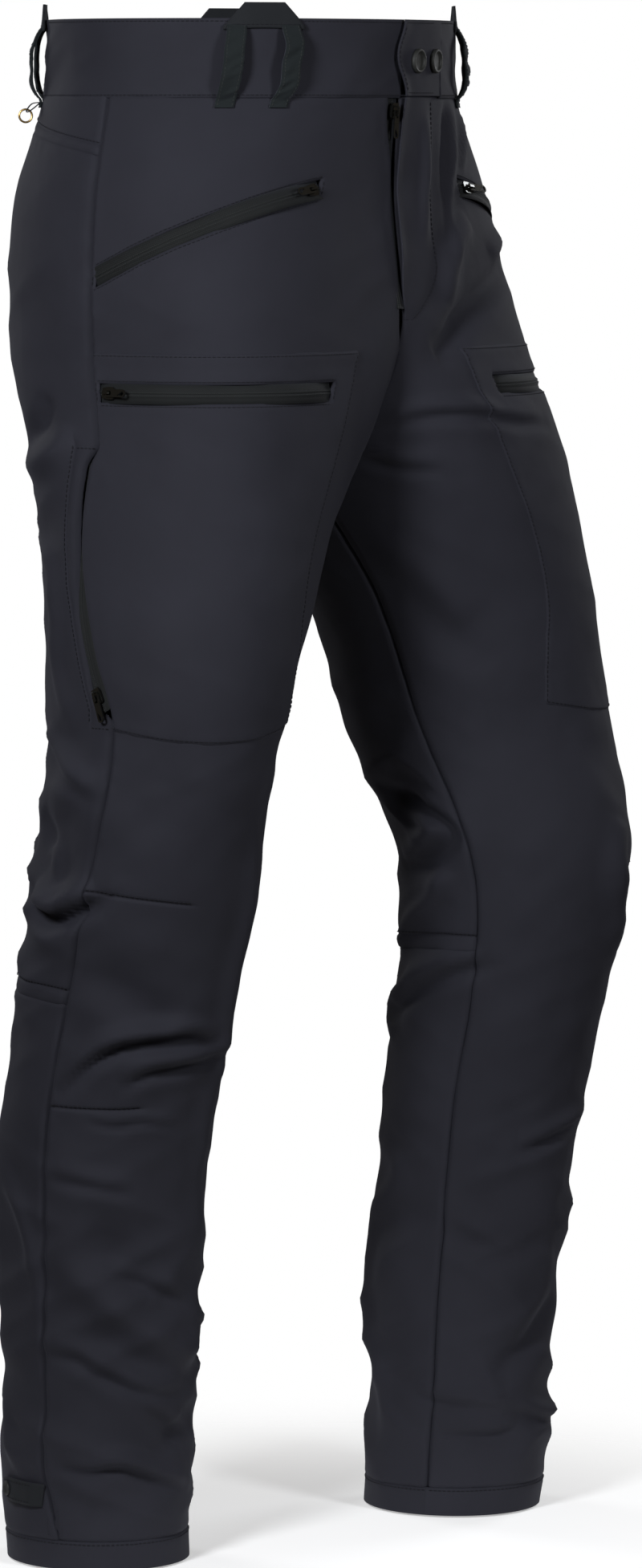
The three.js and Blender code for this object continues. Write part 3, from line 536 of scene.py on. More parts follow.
def waves(z, girth, size, seed):
    """Smooth random relief between -1 and 1, with lumps of about the given size."""
    table = np.random.RandomState(seed).uniform(-1, 1, (WAVE_TABLE, WAVE_TABLE))
    u = np.asarray(z, float) / size + 7.3
    v = np.asarray(girth, float) / size + 31.7
    i = np.floor(u).astype(int)
    j = np.floor(v).astype(int)
    t = smooth(v - j, 0, 1)
    left, right = j % WAVE_TABLE, (j + 1) % WAVE_TABLE
    low, high = [
        mix(table[row % WAVE_TABLE, left], table[row % WAVE_TABLE, right], t) for row in (i, i + 1)
    ]
    return mix(low, high, smooth(u - i, 0, 1))


# The cloth lies still along the zips.
ZIP_LINES = (
    [(hip_zip_line(g), g) for g in (-4, -60, -120, -172)],
    [(THIGH_ZIP_HEIGHT, g) for g in (-6, -60, -120, -190)],
    [(z, side_seam(z) + 8.5) for z in (VENT_BOTTOM, 640, 700, VENT_TOP)],
)
# Unevenness as (height, size, seed, whether it eases off up the thigh).
UNEVENNESS = ((2.1, 52, 3, True), (0.8, 21, 8, True), (0.10, 6, 12, False))


def fold_relief(side, z, girth):
    """How far the folds lift the cloth, in millimetres."""
    total = np.zeros(z.shape)
    for crisp, folds in ((True, CREASES[side]), (False, SWELLS[side])):
        for width, height, places in folds:
            rightward = places[-1][1] > places[0][1]
            line = curve_through(places if rightward else places[::-1])
            reach = 3.2 * width
            near = (z > line[:, 0].min() - reach) & (z < line[:, 0].max() + reach)
            near &= (girth > line[:, 1].min() - reach) & (girth < line[:, 1].max() + reach)
            if not near.any():
                continue
            distance, share = line_distance(z[near], girth[near], line)
            fade = np.sin(np.pi * np.clip(share, 0.02, 0.98)) ** 0.7
            if crisp:
                shape = CREASE_BULGE * bell(distance - 0.8 * width, 0.8 * width)
                shape -= CREASE_VALLEY * bell(distance + 0.1 * width, 0.5 * width)
                shape += CREASE_LIP * bell(distance + 1.1 * width, 0.9 * width)
            else:
                shape = SWELL_RISE * bell(distance, 0.6 * width)
            total[near] += height * fade * shape
    return total


def crumple(side, z, girth):
    """Slanting soft creases where the cloth is loose: low on the legs and behind the knees."""
    low = 1.15 * (1 - smooth(z, 180, 350)) * smooth(z, 16, 50)
    knee = bell(z - 480, 90) * smooth(girth, -10, 40)
    seat = 0.6 * smooth(z, 620, 720) * (1 - smooth(z, 830, 930)) * smooth(girth, 10, 70)
    total = np.zeros(z.shape)
    for tilt, seed in ((0.5, 51), (-0.35, 52)):
        ridge = 1 - 2.2 * np.abs(waves(z + tilt * girth, 0.33 * girth, 30, seed + side))
        total += 1.5 * (0.25 + low + 1.7 * knee + seat) * ridge
    return total * (1 - 0.7 * smooth(z, 880, 960))


def relief(side, z, girth):
    """The cloth's folds and unevenness over the bare surface."""
    z, girth = spread(z, girth)
    whole = back_edge(side, z) - front_edge(side, z)
    lift = fold_relief(side, z, girth)
    below = z < CROTCH
    for turn in (-1, 1):
        lift += np.where(below, fold_relief(side, z, girth + turn * whole), 0)
    loose = 1 - 0.75 * smooth(z, 560, 700)
    edge = np.minimum(girth - front_edge(side, z), back_edge(side, z) - girth)
    uneven = crumple(side, z, girth)
    for height, size, seed, eases in UNEVENNESS:
        uneven += (loose if eases else 1) * height * waves(z, girth, size, seed + side)
    lift += uneven * smooth(edge, -4, 30)
    free = 1 - smooth(z, BAND_BOTTOM - 14, BAND_BOTTOM + 2)
    free = free * np.where(z < 30, smooth(z, -8, 30), 1)
    for line in ZIP_LINES:
        distance, _ = line_distance(z, girth, np.array(line, float))
        free = free * (1 - bell(distance, 14))
    for place in (TAB_LENGTH * 0.25, TAB_LENGTH * 0.8):
        gap = np.hypot(z - TAB_HEIGHT, girth - place)
        free = free * (1 - 0.9 * bell(gap, 22))
    return lift * free


# ---- materials


def new_material(name, settings):
    """A new material, with values set on its shader's own sockets."""
    material = bpy.data.materials.new(name)
    material.use_nodes = True
    shader = material.node_tree.nodes["Principled BSDF"]
    for socket, value in settings.items():
        shader.inputs[socket].default_value = value
    return material, material.node_tree, shader


def add_node(tree, kind, sockets=None, **settings):
    """A shader node with its settings, and with values on its sockets."""
    node = tree.nodes.new("ShaderNode" + kind)
    for name, value in settings.items():
        setattr(node, name, value)
    for name, value in (sockets or {}).items():
        node.inputs[name].default_value = value
    return node


def wire(tree, *links):
    """Links sockets, each link as (node, output, node, input)."""
    for source, output, target, socket in links:
        tree.links.new(source.outputs[output], target.inputs[socket])


# A wave texture of scale 1 repeats after this length.
WAVE_LENGTH = math.pi / 10


def fabric(name, dark, light, pitch=0.55, roughness=0.8, sheen=0.03, grain=0.00012):
    """Woven cloth: a fine twill from the piece's own UV map, which is in metres, with faint
    lighter and darker patches and a soft sheen."""
    material, tree, shader = new_material(name, {
        "Roughness": roughness, "Specular IOR Level": 0.15, "Sheen Weight": sheen,
        "Sheen Roughness": 0.45, "Sheen Tint": (0.75, 0.78, 1.0, 1),
    })
    place = add_node(tree, "UVMap", uv_map="cloth")
    weave = add_node(tree, "Math", operation="MULTIPLY")
    for index, turn in enumerate((math.radians(38), math.radians(-52))):
        turned = add_node(tree, "Mapping", {"Rotation": (0, 0, turn)})
        wave = add_node(tree, "TexWave", {"Scale": WAVE_LENGTH / (pitch * MM)},
                        wave_type="BANDS", bands_direction="X")
        wire(tree, (place, "UV", turned, "Vector"), (turned, "Vector", wave, "Vector"),
             (wave, "Fac", weave, index))
    patches = add_node(tree, "TexNoise", {"Scale": 14, "Detail": 4})
    fuzz = add_node(tree, "TexNoise", {"Scale": 900, "Detail": 2})
    shade = add_node(tree, "Math", {1: 0.7}, operation="MULTIPLY_ADD")
    height = add_node(tree, "Math", {1: 0.5}, operation="MULTIPLY_ADD")
    for noise, sum_of in ((patches, shade), (fuzz, height)):
        wire(tree, (place, "UV", noise, "Vector"), (noise, "Fac", sum_of, 0),
             (weave, "Value", sum_of, 2))
    ramp = add_node(tree, "ValToRGB")
    for element, position, colour in zip(ramp.color_ramp.elements, (0.25, 0.95), (dark, light)):
        element.position = position
        element.color = (*colour, 1)
    bump = add_node(tree, "Bump", {"Strength": 0.6, "Distance": grain})
    wire(tree, (shade, "Value", ramp, "Fac"), (ramp, "Color", shader, "Base Color"),
         (height, "Value", bump, "Height"), (bump, "Normal", shader, "Normal"))
    return material


def hard(name, colour, roughness, metallic, coat=0.0):
    """Moulded or painted metal: fine unevenness in its colour, its gloss and its surface."""
    material, tree, shader = new_material(name, {"Metallic": metallic, "Coat Weight": coat})
    place = add_node(tree, "TexCoord")
    noise = add_node(tree, "TexNoise", {"Scale": 260, "Detail": 3})
    gloss = add_node(tree, "MapRange", {"To Min": roughness * 0.75, "To Max": roughness * 1.25})
    tint = add_node(tree, "MixRGB", {"Color1": (*[c * 0.8 for c in colour], 1),
                                     "Color2": (*[c * 1.2 for c in colour], 1)})
    bump = add_node(tree, "Bump", {"Strength": 0.15, "Distance": 0.00005})
    wire(tree, (place, "Object", noise, "Vector"), (noise, "Fac", gloss, "Value"),
         (noise, "Fac", tint, "Fac"), (noise, "Fac", bump, "Height"),
         (gloss, "Result", shader, "Roughness"), (tint, "Color", shader, "Base Color"),
         (bump, "Normal", shader, "Normal"))
    return material


MATERIALS = {
    "shell": fabric("shell", (0.0155, 0.0156, 0.0215), (0.0256, 0.026, 0.0352)),
    "facing": fabric("facing", (0.016, 0.017, 0.022), (0.026, 0.027, 0.034), pitch=0.8),
    "lining": fabric("lining", (0.04, 0.042, 0.05), (0.07, 0.073, 0.085), pitch=1.6, grain=0.0003),
    "webbing": fabric("webbing", (0.0068, 0.0095, 0.0102), (0.0142, 0.0185, 0.0195), pitch=0.5,
                      sheen=0.1, grain=0.0002),
    "zip": fabric("zip", (0.004, 0.0046, 0.0046), (0.0185, 0.0202, 0.0208), pitch=0.9,
                  roughness=0.7, sheen=0.05, grain=0.0003),
    "tab": fabric("tab", (0.0095, 0.0108, 0.0128), (0.0165, 0.0182, 0.021)),
    "thread": fabric("thread", (0.007, 0.007, 0.009), (0.014, 0.014, 0.018), pitch=0.3),
    "pale_thread": fabric("pale_thread", (0.024, 0.027, 0.026), (0.05, 0.053, 0.051), pitch=0.3),
    "slider": hard("slider", (0.04, 0.041, 0.037), 0.16, 0.9, coat=1.0),
    "stud": hard("stud", (0.013, 0.014, 0.013), 0.62, 0.15),
    "brass": hard("brass", (0.55, 0.36, 0.13), 0.3, 1.0),
}

# ---- cloth pieces


def mesh_object(name, points, faces, slot, uv=None, body=ROOT, node=None):
    """A piece from points in millimetres, smooth shaded, with an optional UV map in metres."""
    points = np.asarray(points)
    mesh = bpy.data.meshes.new(name)
    mesh.from_pydata((points * MM).tolist(), [], faces)
    mesh.polygons.foreach_set("use_smooth", [True] * len(mesh.polygons))
    if uv is None:
        uv = np.stack([points[:, 0] + points[:, 1], points[:, 2]], -1)
    layer = mesh.uv_layers.new(name="cloth")
    corners = np.empty(len(mesh.loops), np.int32)
    mesh.loops.foreach_get("vertex_index", corners)
    layer.data.foreach_set("uv", (np.asarray(uv)[corners] * MM).astype(np.float32).ravel())
    mesh.materials.append(MATERIALS[slot])
    mesh.update()
    piece = bpy.data.objects.new(name, mesh)
    bpy.context.scene.collection.objects.link(piece)
    if node:
        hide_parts(*([node] if isinstance(node, str) else node))
    if body:
        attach(piece, body)
    return piece


def circle(count):
    """The cosine and sine of evenly spaced angles round a turn."""
    angles = [2 * math.pi * k / count for k in range(count)]
    return [(math.cos(angle), math.sin(angle)) for angle in angles]


def tube_faces(rings, around, loop=False):
    """Quads of a tube made of rings of points. A loop closes on itself."""
    faces = []
    for ring in range(rings if loop else rings - 1):
        low, high = ring * around, (ring + 1) % rings * around
        for k in range(around):
            after = (k + 1) % around
            faces.append((low + k, high + k, high + after, low + after))
    return faces


def band_stops(lengths):
    """Stops over a row of bands, close together at the edges of each, as (band, share, inset)."""
    stops = []
    for band, length in enumerate(lengths):
        edge = [inset for inset in EDGE_STOPS if inset < max(length / 4, 0.01)]
        count = max(2, math.ceil((length - 2 * edge[-1]) / GRID_STEP))
        first = edge if band == 0 else edge[1:]
        stops += [(band, 0.0, inset) for inset in first]
        stops += [(band, k / count, edge[-1] * (1 - 2 * k / count)) for k in range(1, count)]
        stops += [(band, 1.0, -inset) for inset in reversed(edge)]
    return stops


def sheet_faces(rows, columns, closed, hidden):
    """Quads of a sheet with two layers, with walls round its edges and round hidden cells."""
    width = columns if closed else columns + 1
    size = (rows + 1) * width
    shown = ~hidden

    def at(r, c):
        return r * width + c % width

    faces = []
    for r in range(rows):
        for c in range(columns):
            if not shown[r, c]:
                continue
            a, b, d, e = at(r, c), at(r, c + 1), at(r + 1, c + 1), at(r + 1, c)
            faces.append((a, b, d, e))
            faces.append((e + size, d + size, b + size, a + size))
            walls = (
                (r == 0 or not shown[r - 1, c], b, a),
                (r == rows - 1 or not shown[r + 1, c], e, d),
                ((c == 0 and not closed) or not shown[r, c - 1], a, e),
                ((c == columns - 1 and not closed) or not shown[r, (c + 1) % columns], d, b),
            )
            faces += [(p, q, q + size, p + size) for wall, p, q in walls if wall]
    return faces


def two_layers(name, slot, side, z, girth, out, thick=CLOTH, hidden=None, closed=False, body=ROOT,
               node=None):
    """A cloth piece over a grid of heights and girths."""
    rows, columns = z.shape
    cells = (rows - 1, columns if closed else columns - 1)
    if hidden is None:
        hidden = np.zeros(cells, bool)
    outer = skin(side, z, girth, out)
    inner = skin(side, z, girth, out - thick)
    points = np.concatenate([outer.reshape(-1, 3), inner.reshape(-1, 3)])
    uv = np.stack([girth, z], -1).reshape(-1, 2)
    faces = sheet_faces(cells[0], cells[1], closed, hidden)
    if side == LEFT:
        faces = [face[::-1] for face in faces]
    used = np.unique(np.array(faces))
    place = np.zeros(len(points), int)
    place[used] = np.arange(len(used))
    faces = place[np.array(faces)].tolist()
    uv = np.concatenate([uv, uv])[used]
    piece = mesh_object(name, points[used], faces, slot, uv, body, node)
    declare_grid(outer, closed)
    return piece


def declare_grid(grid, closed):
    if closed:
        grid = np.concatenate([grid, grid[:, :1]], axis=1)


SEAM_WIDTH = 1.1
SEAM_CREASE = 2.1
LINE_DEPTH = 1.1
SEAM_SPREAD = 1.8


def seam_shape(gap, z, girth):
    """How the cloth dips at a seam and puffs up beside it."""
    pucker = waves(z * 2.2, girth * 2.2, 14, 21)
    dip = (1.0 + 0.3 * pucker) * bell(gap, SEAM_WIDTH)
    return 0.22 * (1 + 1.4 * pucker) * bell(gap - 4.5, 3.0) - dip


def present(share, low, high):
    """1 where a line's share is within its range, 0 beyond."""
    return smooth(share, low - 0.012, low + 0.004) * (1 - smooth(share, high - 0.004, high + 0.012))


TRACE_STEPS = 260


class Patch:
    """A cloth panel between border lines: rows are heights by girth from the bottom up, and
    columns girths by height from the front back."""

    def __init__(self, rows, columns):
        self.rows = rows
        self.columns = columns
        zero = np.zeros(1)
        height = (rows[0](zero) + rows[-1](zero)) / 2
        middle = (columns[0](height) + columns[-1](height)) / 2
        self.heights = [float(row(middle)[0]) for row in rows]
        self.girths = [float(column(height)[0]) for column in columns]

    def across(self, share, z):
        return mix(self.columns[0](z), self.columns[-1](z), share)

    def grid(self):
        row_stops = band_stops(np.diff(self.heights))
        column_stops = band_stops(np.diff(self.girths))
        girth = np.array([
            mix(self.girths[b], self.girths[b + 1], s) + i for b, s, i in column_stops
        ])
        girth = np.tile(girth, (len(row_stops), 1))
        for _ in range(3):
            z = np.stack([
                mix(self.rows[b](girth[r]), self.rows[b + 1](girth[r]), s) + i
                for r, (b, s, i) in enumerate(row_stops)
            ])
            girth = np.stack([
                mix(self.columns[b](z[:, c]), self.columns[b + 1](z[:, c]), s) + i
                for c, (b, s, i) in enumerate(column_stops)
            ], axis=1)
        row_bands = np.array([b for b, _, _ in row_stops])
        column_bands = np.array([b for b, _, _ in column_stops])
        return z, girth, row_bands, column_bands

    def trace(self, kind, index, offset, low=0.0, high=1.0):
        """Places along a row or a column line, set off from it by a distance."""
        share = np.linspace(low, high, TRACE_STEPS)
        if kind == "row":
            z = self.rows[index](self.across(share, 0 * share + self.heights[index])) + offset
            for _ in range(3):
                girth = self.across(share, z)
                z = self.rows[index](girth) + offset
            return z, girth
        girth = self.columns[index](0 * share + self.heights[0]) + offset
        for _ in range(3):
            z = mix(self.rows[0](girth), self.rows[-1](girth), share)
            girth = self.columns[index](z) + offset
        return z, girth

    def window(self, z, girth, row, column):
        """How far each place is from an open window."""
        over = np.maximum(self.rows[row](girth) - z, z - self.rows[row + 1](girth))
        beyond = np.maximum(self.columns[column](z) - girth, girth - self.columns[column + 1](z))
        return np.hypot(np.maximum(over, 0), np.maximum(beyond, 0))

    def gap_to(self, kind, index, z, girth):
        """The distance from a line, and the share of the way along it."""
        own, other, lines, ends = z, girth, self.rows, self.columns
        if kind == "column":
            own, other, lines, ends = girth, z, self.columns, self.rows
        share = (other - ends[0](own)) / (ends[-1](own) - ends[0](own))
        return np.abs(own - lines[index](other)), share


# An edge's kind of line, its index, and which way is inward.
EDGES = {"b": ("row", 0, 1), "t": ("row", -1, -1), "f": ("column", 0, 1), "a": ("column", -1, -1)}


def level(z, girth):
    """The shape of a panel that keeps to the garment's surface."""
    return 0.0


def window_paths(patch, row, column):
    """Lines of places round an open window, a stitch's inset from its border."""
    for index, turn in ((row, -1), (row + 1, 1)):
        z, girth = patch.trace("row", index, turn * STITCH_INSET)
        start, end = patch.columns[column](z), patch.columns[column + 1](z)
        yield z, girth, (girth > start - STITCH_INSET) & (girth < end + STITCH_INSET)
    for index, turn in ((column, -1), (column + 1, 1)):
        z, girth = patch.trace("column", index, turn * STITCH_INSET)
        low, high = patch.rows[row](girth), patch.rows[row + 1](girth)
        yield z, girth, (z > low - 1.5) & (z < high + 1.5)


def panel(name, side, rows, columns, node, out=0.0, slot="shell", opening=None, sewn="btfa",
          stitched="", lines=(), closed=False, folds=1.0, thick=CLOTH, shape=level, cut=(),
          creased=""):
    """A cloth panel. opening is the band of rows and of columns left open for a zip, and cut
    those left out. sewn names the edges that dip into a seam, creased those that dip deeper,
    and stitched those with a row of stitches: b, t, f and a for bottom, top, front and back.
    lines are seams within the panel, as (kind, index, low, high)."""
    patch = Patch(rows, columns)
    z, girth, row_bands, column_bands = patch.grid()
    if closed:
        z, girth, column_bands = z[:, :-1], girth[:, :-1], column_bands[:-1]

    def lay(z, girth):
        return out + folds * relief(side, z, girth) + shape(z, girth)

    def sew(z, girth, gap):
        lift = lay(z, girth) + seam_shape(np.full(z.shape, gap), z, girth)
        add_stitches(f"stitching_{WORDS[side]}", skin(side, z, girth, lift + 0.12))

    lift = lay(z, girth)
    for letter in sewn:
        gap, _ = patch.gap_to(*EDGES[letter][:2], z, girth)
        lift += seam_shape(gap, z, girth)
    for letter in creased:
        gap, _ = patch.gap_to(*EDGES[letter][:2], z, girth)
        depth = SEAM_CREASE * (1 + 0.5 * waves(z, girth, 30, 33))
        if letter == "f" and "front" in name:
            # Above the fork this edge is the fly, which lies flat.
            depth = depth * (1 - smooth(z, CROTCH - 30, CROTCH + 10))
        lift -= depth * bell(gap, SEAM_SPREAD)
    for kind, index, low, high in lines:
        gap, share = patch.gap_to(kind, index, z, girth)
        lift -= LINE_DEPTH * present(share, low, high) * bell(gap, SEAM_WIDTH)
    windows = [opening] if opening else []
    for window in windows:
        lift += seam_shape(patch.window(z, girth, *window), z, girth)
    hidden = np.zeros((z.shape[0] - 1, z.shape[1] - (0 if closed else 1)), bool)
    for row, column in (*cut, *windows):
        hidden |= (row_bands[1:, None] == row) & (column_bands[None, 1:] == column)
    two_layers(name, slot, side, z, girth, lift, thick, hidden, closed, node=node)
    for letter in stitched:
        kind, index, inward = EDGES[letter]
        sew(*patch.trace(kind, index, inward * STITCH_INSET), STITCH_INSET)
    for kind, index, low, high in lines:
        sew(*patch.trace(kind, index, 1.5, low, high), 9.0)
    for window in windows:
        for z, girth, within in window_paths(patch, *window):
            if within.any():
                sew(z[within], girth[within], STITCH_INSET)


# ---- stitching

STITCH_INSET = 2.0
STITCH_PITCH = 3.3
STITCH_SIDES = 5
# A stitch's rings: how far along its length, and how wide.
STITCH_RINGS = ((-0.5, 0.35), (-0.28, 1.0), (0.28, 1.0), (0.5, 0.35))
STITCHES = {}


def add_stitches(group, path, pitch=STITCH_PITCH, length=2.4, radius=0.33):
    """Sews along a line of places. The thread shows as a row of short raised stitches."""
    steps = np.linalg.norm(np.diff(path, axis=0), axis=1)
    along = np.concatenate([[0], np.cumsum(steps)])
    if along[-1] < 2 * pitch:
        return
    centres = np.arange(pitch, along[-1] - pitch * 0.5, pitch)

    def at(distance):
        return np.stack([np.interp(distance, along, path[:, k]) for k in range(3)], -1)

    direction = at(centres + pitch / 4) - at(centres - pitch / 4)
    direction /= np.linalg.norm(direction, axis=1, keepdims=True)
    helper = np.where(np.abs(direction[:, 2:]) > 0.8, [[1.0, 0, 0]], [[0, 0, 1.0]])
    one = np.cross(direction, helper)
    one /= np.linalg.norm(one, axis=1, keepdims=True)
    two = np.cross(direction, one)
    rings = []
    for reach, size in STITCH_RINGS:
        for cosine, sine in circle(STITCH_SIDES):
            turn = cosine * one + sine * two
            rings.append(at(centres) + direction * (reach * length) + turn * (radius * size))
    STITCHES.setdefault(group, []).append(np.stack(rings, axis=1))


def add_all_stitching():
    """One piece for each group of stitches, on the body its name ends with."""
    one = tube_faces(len(STITCH_RINGS), STITCH_SIDES)
    size = len(STITCH_RINGS) * STITCH_SIDES
    one += [tuple(range(STITCH_SIDES)), tuple(reversed(range(size - STITCH_SIDES, size)))]
    for group, rows in STITCHES.items():
        points = np.concatenate(rows)
        faces = [tuple(size * i + k for k in face) for i in range(len(points)) for face in one]
        slot = "pale_thread" if "pale" in group else "thread"
        body = group.removeprefix("stitching_")
        moves = body in ("waist_flap", "hem_tab_right", "hem_tab_left")
        mesh_object(group, points.reshape(-1, 3), faces, slot, body=body if moves else ROOT)


# ---- body panels


def line(value):
    """A border line at one height or girth."""
    return lambda where: np.full(np.shape(where), float(value))


def front_plus(side, distance):
    return lambda z: front_edge(side, z) + distance


def back_minus(side, distance=SEAM_GAP):
    return lambda z: back_edge(side, z) - distance


def pocket_rear(z):
    """The thigh pocket's rear edge: the side seam, with a lip over the vent's zip."""
    lip = mix(mix(2.5, 4.2, smooth(z, 606, 625)), 5.0, smooth(z, 650, 705))
    return side_seam(z) - SEAM_GAP + lip * vent_share(z)


def side_back(z):
    return side_seam(z) + SEAM_GAP + vent_back(z)


def pocket_low(girth):
    """The lower edge of the thigh pocket panel hangs in a shallow bow."""
    return POCKET_BOTTOM - 9 * np.sin(np.pi * np.clip(-girth / 160, 0, 1))


def dart_low(girth):
    """The lower of the two seams that shape the knee, from the side seam forwards."""
    share = -girth / 70
    return KNEE_DART_LOW + 3 * np.clip(share, 0, 1.6) ** 3 - 3 * np.clip(share, 0, 1)


def dart_high(girth):
    return KNEE_DART_HIGH - 8 * np.clip(-girth / 65, 0, 1.4)


def offset(border, distance):
    return lambda where: border(where) + distance


def fly_edge(z):
    """The right front panel's edge stands open at the top of the fly, where the zip shows."""
    return mix(4.5, 13, smooth(z, 950, 992)) * smooth(z, FLY_BOTTOM - 22, FLY_BOTTOM - 4)


def add_front(side, word):
    half = ZIP_WINDOW / 2 - 1.2

    def front_of_hip(z):
        beside_fly = fly_edge(z) if side == RIGHT else smooth(z, FLY_BOTTOM - 22, FLY_BOTTOM)
        return front_edge(side, z) + SEAM_GAP + beside_fly

    def fly_lip(z, girth):
        gap = girth - front_of_hip(z)
        return -0.5 * bell(gap, 9) * smooth(z, FLY_BOTTOM - 22, FLY_BOTTOM)

    def inner_line(z):
        return mix(pocket_edge(z), -196, smooth(z, POCKET_TOP, POCKET_TOP + 50))

    def zip_start(z):
        return mix(pocket_edge(z) + 22, -172, smooth(z, POCKET_TOP - 10, POCKET_TOP + 20))

    rows = [line(HEM_HEIGHT), dart_low, dart_high, pocket_low, line(POCKET_TOP),
            offset(hip_zip_line, -half), offset(hip_zip_line, half), line(BAND_BOTTOM)]
    columns = [front_of_hip, inner_line, zip_start, line(-4), offset(side_seam, -SEAM_GAP)]
    panel(f"front_panel_{word}", side, rows, columns,
          (f"front_hip_{word}", f"front_inner_{word}", f"front_lower_leg_{word}"),
          opening=(5, 2), cut=((3, 1), (3, 2), (3, 3)), creased="af",
          shape=fly_lip if side == RIGHT else level,
          lines=[("row", 1, 0.68, 1.0), ("row", 2, 0.66, 1.0)])
    rows = [offset(pocket_low, -3), line(THIGH_ZIP_HEIGHT - half),
            line(THIGH_ZIP_HEIGHT + half), line(POCKET_TOP + 2)]
    columns = [offset(pocket_edge, -3), offset(pocket_edge, 22), line(-5), pocket_rear]
    panel(f"thigh_pocket_panel_{word}", side, rows, columns, f"thigh_pocket_{word}",
          opening=(1, 1), out=PATCH_OUT, stitched="btf", creased="a")


def add_back(side, word):
    rear = back_minus(side)
    panel(f"back_yoke_panel_{word}", side,
          [offset(yoke_seam, SEAM_GAP), offset(yoke_seam, 7), line(BAND_BOTTOM - SEAM_GAP)],
          [side_back, rear], f"back_yoke_{word}", lines=[("row", 1, 0.0, 1.0)], creased="f")
    vent_low, vent_high = [
        (z - BACK_KNEE_HEIGHT) / (YOKE_HEIGHT - BACK_KNEE_HEIGHT) for z in (VENT_FOOT, VENT_TOP)
    ]
    panel(f"seat_panel_{word}", side,
          [offset(knee_seam, SEAM_GAP), offset(knee_seam, 10), offset(yoke_seam, -SEAM_GAP)],
          [side_back, offset(side_seam, 20), rear], f"back_thigh_{word}",
          lines=[("row", 1, 0.0, 1.0), ("column", 1, vent_low, vent_high)], creased="fa")
    panel(f"calf_panel_{word}", side,
          [line(HEM_HEIGHT + SEAM_GAP), offset(knee_seam, -SEAM_GAP)],
          [offset(side_seam, SEAM_GAP), rear], f"back_calf_{word}", creased="fa")
    for height in (VENT_TOP, VENT_FOOT):
        girth = side_seam(height) + np.linspace(1, 20, 40)
        z = np.full(40, float(height))
        add_stitches(f"stitching_{word}", skin(side, z, girth, relief(side, z, girth) + 0.3))


def add_hem(side, word):
    panel(f"hem_{word}", side, [line(0), line(HEM_HEIGHT)],
          [front_plus(side, 0), back_minus(side, 0)], f"hem_band_{word}", sewn="t", stitched="t",
          closed=True)


def add_bags(side, word):
    panel(f"hip_bag_{word}", side, [line(POCKET_TOP + 6), offset(hip_zip_line, -9)],
          [line(-164), line(-12)], f"hip_pocket_bag_{word}", out=-HIP_BAG_DEPTH,
          slot="lining", sewn="bfa", thick=LINING)
    panel(f"thigh_bag_{word}", side, [line(THIGH_BAG_LOW), line(THIGH_ZIP_HEIGHT - 12)],
          [offset(pocket_edge, 10), line(-12)], f"thigh_pocket_bag_{word}",
          out=-THIGH_BAG_DEPTH, slot="lining", sewn="bfa", thick=LINING)


# ---- waist and fly


def flap_edge(z):
    """The flap's free edge waves out past the centre."""
    bulge = smooth(z, 1003, 1030) * (1 - 0.75 * smooth(z, 1032, 1055))
    return front_edge(LEFT, z) - 1 - 9 * bulge


def flap_rise(from_centre):
    """The band eases off the body towards the flap, which lies over the underlap."""
    return FLAP_OUT * (1 - smooth(from_centre, FLAP_ROOT - 12, FLAP_ROOT + 60))


def flap_shape(z, girth):
    """The flap rises off the waistband from its root and curls at its free edge."""
    rise = flap_rise(girth - front_edge(LEFT, z))
    ripple = 0.65 + 0.35 * waves(z, girth, 17, 5)
    curl = FLAP_CURL * bell(girth - flap_edge(z), 7) * ripple
    return rise + curl + 0.5 * waves(z, girth, 15, 77)


def add_waistband(side, word):
    start = SEAM_GAP if side == RIGHT else FLAP_ROOT

    def ease(z, girth):
        slant = 1 - 2.2 * np.abs(waves(z + 0.5 * girth, 0.4 * girth, 22, 61 + side))
        lift = 0.9 * slant + 1.3 * waves(z, girth, 40, 63 + side)
        if side == LEFT:
            lift = lift + flap_rise(girth - front_edge(side, z))
        return lift * (1 - 0.5 * smooth(z, 1040, 1055))

    panel(f"waistband_cloth_{word}", side, [line(BAND_BOTTOM - 1.5), line(WAIST_TOP)],
          [front_plus(side, start), back_minus(side)], f"waistband_{word}", sewn="b",
          stitched="bt", folds=0.0, shape=ease, out=0.3)
    stop = 4 if side == RIGHT else FLAP_ROOT + 14
    panel(f"waist_facing_{word}", side, [line(BAND_BOTTOM - 8), line(WAIST_TOP - 2)],
          [front_plus(side, stop), back_minus(side, -0.1)], "waistband_facing", sewn="",
          slot="facing", folds=0.0, out=-FACING_DEPTH, thick=FACING_CLOTH)


def bend(piece, root, free):
    """Bakes the piece's transform into its mesh. The places of its root and its free end are worked
    out but not used.
    """
    start, end = [tuple(skin(*place) * MM) for place in (root, free)]
    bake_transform(piece)


def add_flap():
    rows = [line(BAND_BOTTOM), line(WAIST_TOP)]
    patch = Patch(rows, [flap_edge, front_plus(LEFT, FLAP_ROOT)])
    z, girth, _, _ = patch.grid()
    piece = two_layers("waist_flap_cloth", "shell", LEFT, z, girth, flap_shape(z, girth),
                       body=None, node="waist_flap")
    root = front_edge(LEFT, FLAP_MIDDLE) + FLAP_ROOT
    bend(piece, (LEFT, FLAP_MIDDLE, root), (LEFT, FLAP_MIDDLE, root - 9))
    for kind, index, inset, low, high in (
        ("row", 0, 2.2, 0.03, 0.8), ("row", -1, -2.2, 0.03, 0.8), ("column", 0, 2.2, 0.04, 0.96),
    ):
        z, girth = patch.trace(kind, index, inset, low, high)
        add_stitches("stitching_waist_flap", skin(LEFT, z, girth, flap_shape(z, girth) + 0.1))


def add_underlap():
    def ease(z, girth):
        return 0.3 * waves(z, girth, 20, 41)

    panel("waist_underlap_cloth", LEFT, [line(BAND_BOTTOM + 1), line(WAIST_TOP - 1)],
          [front_plus(LEFT, -3.5), front_plus(LEFT, FLAP_ROOT + 8)], "waist_underlap",
          sewn="", folds=0.0, out=-UNDERLAP_DEPTH, shape=ease)


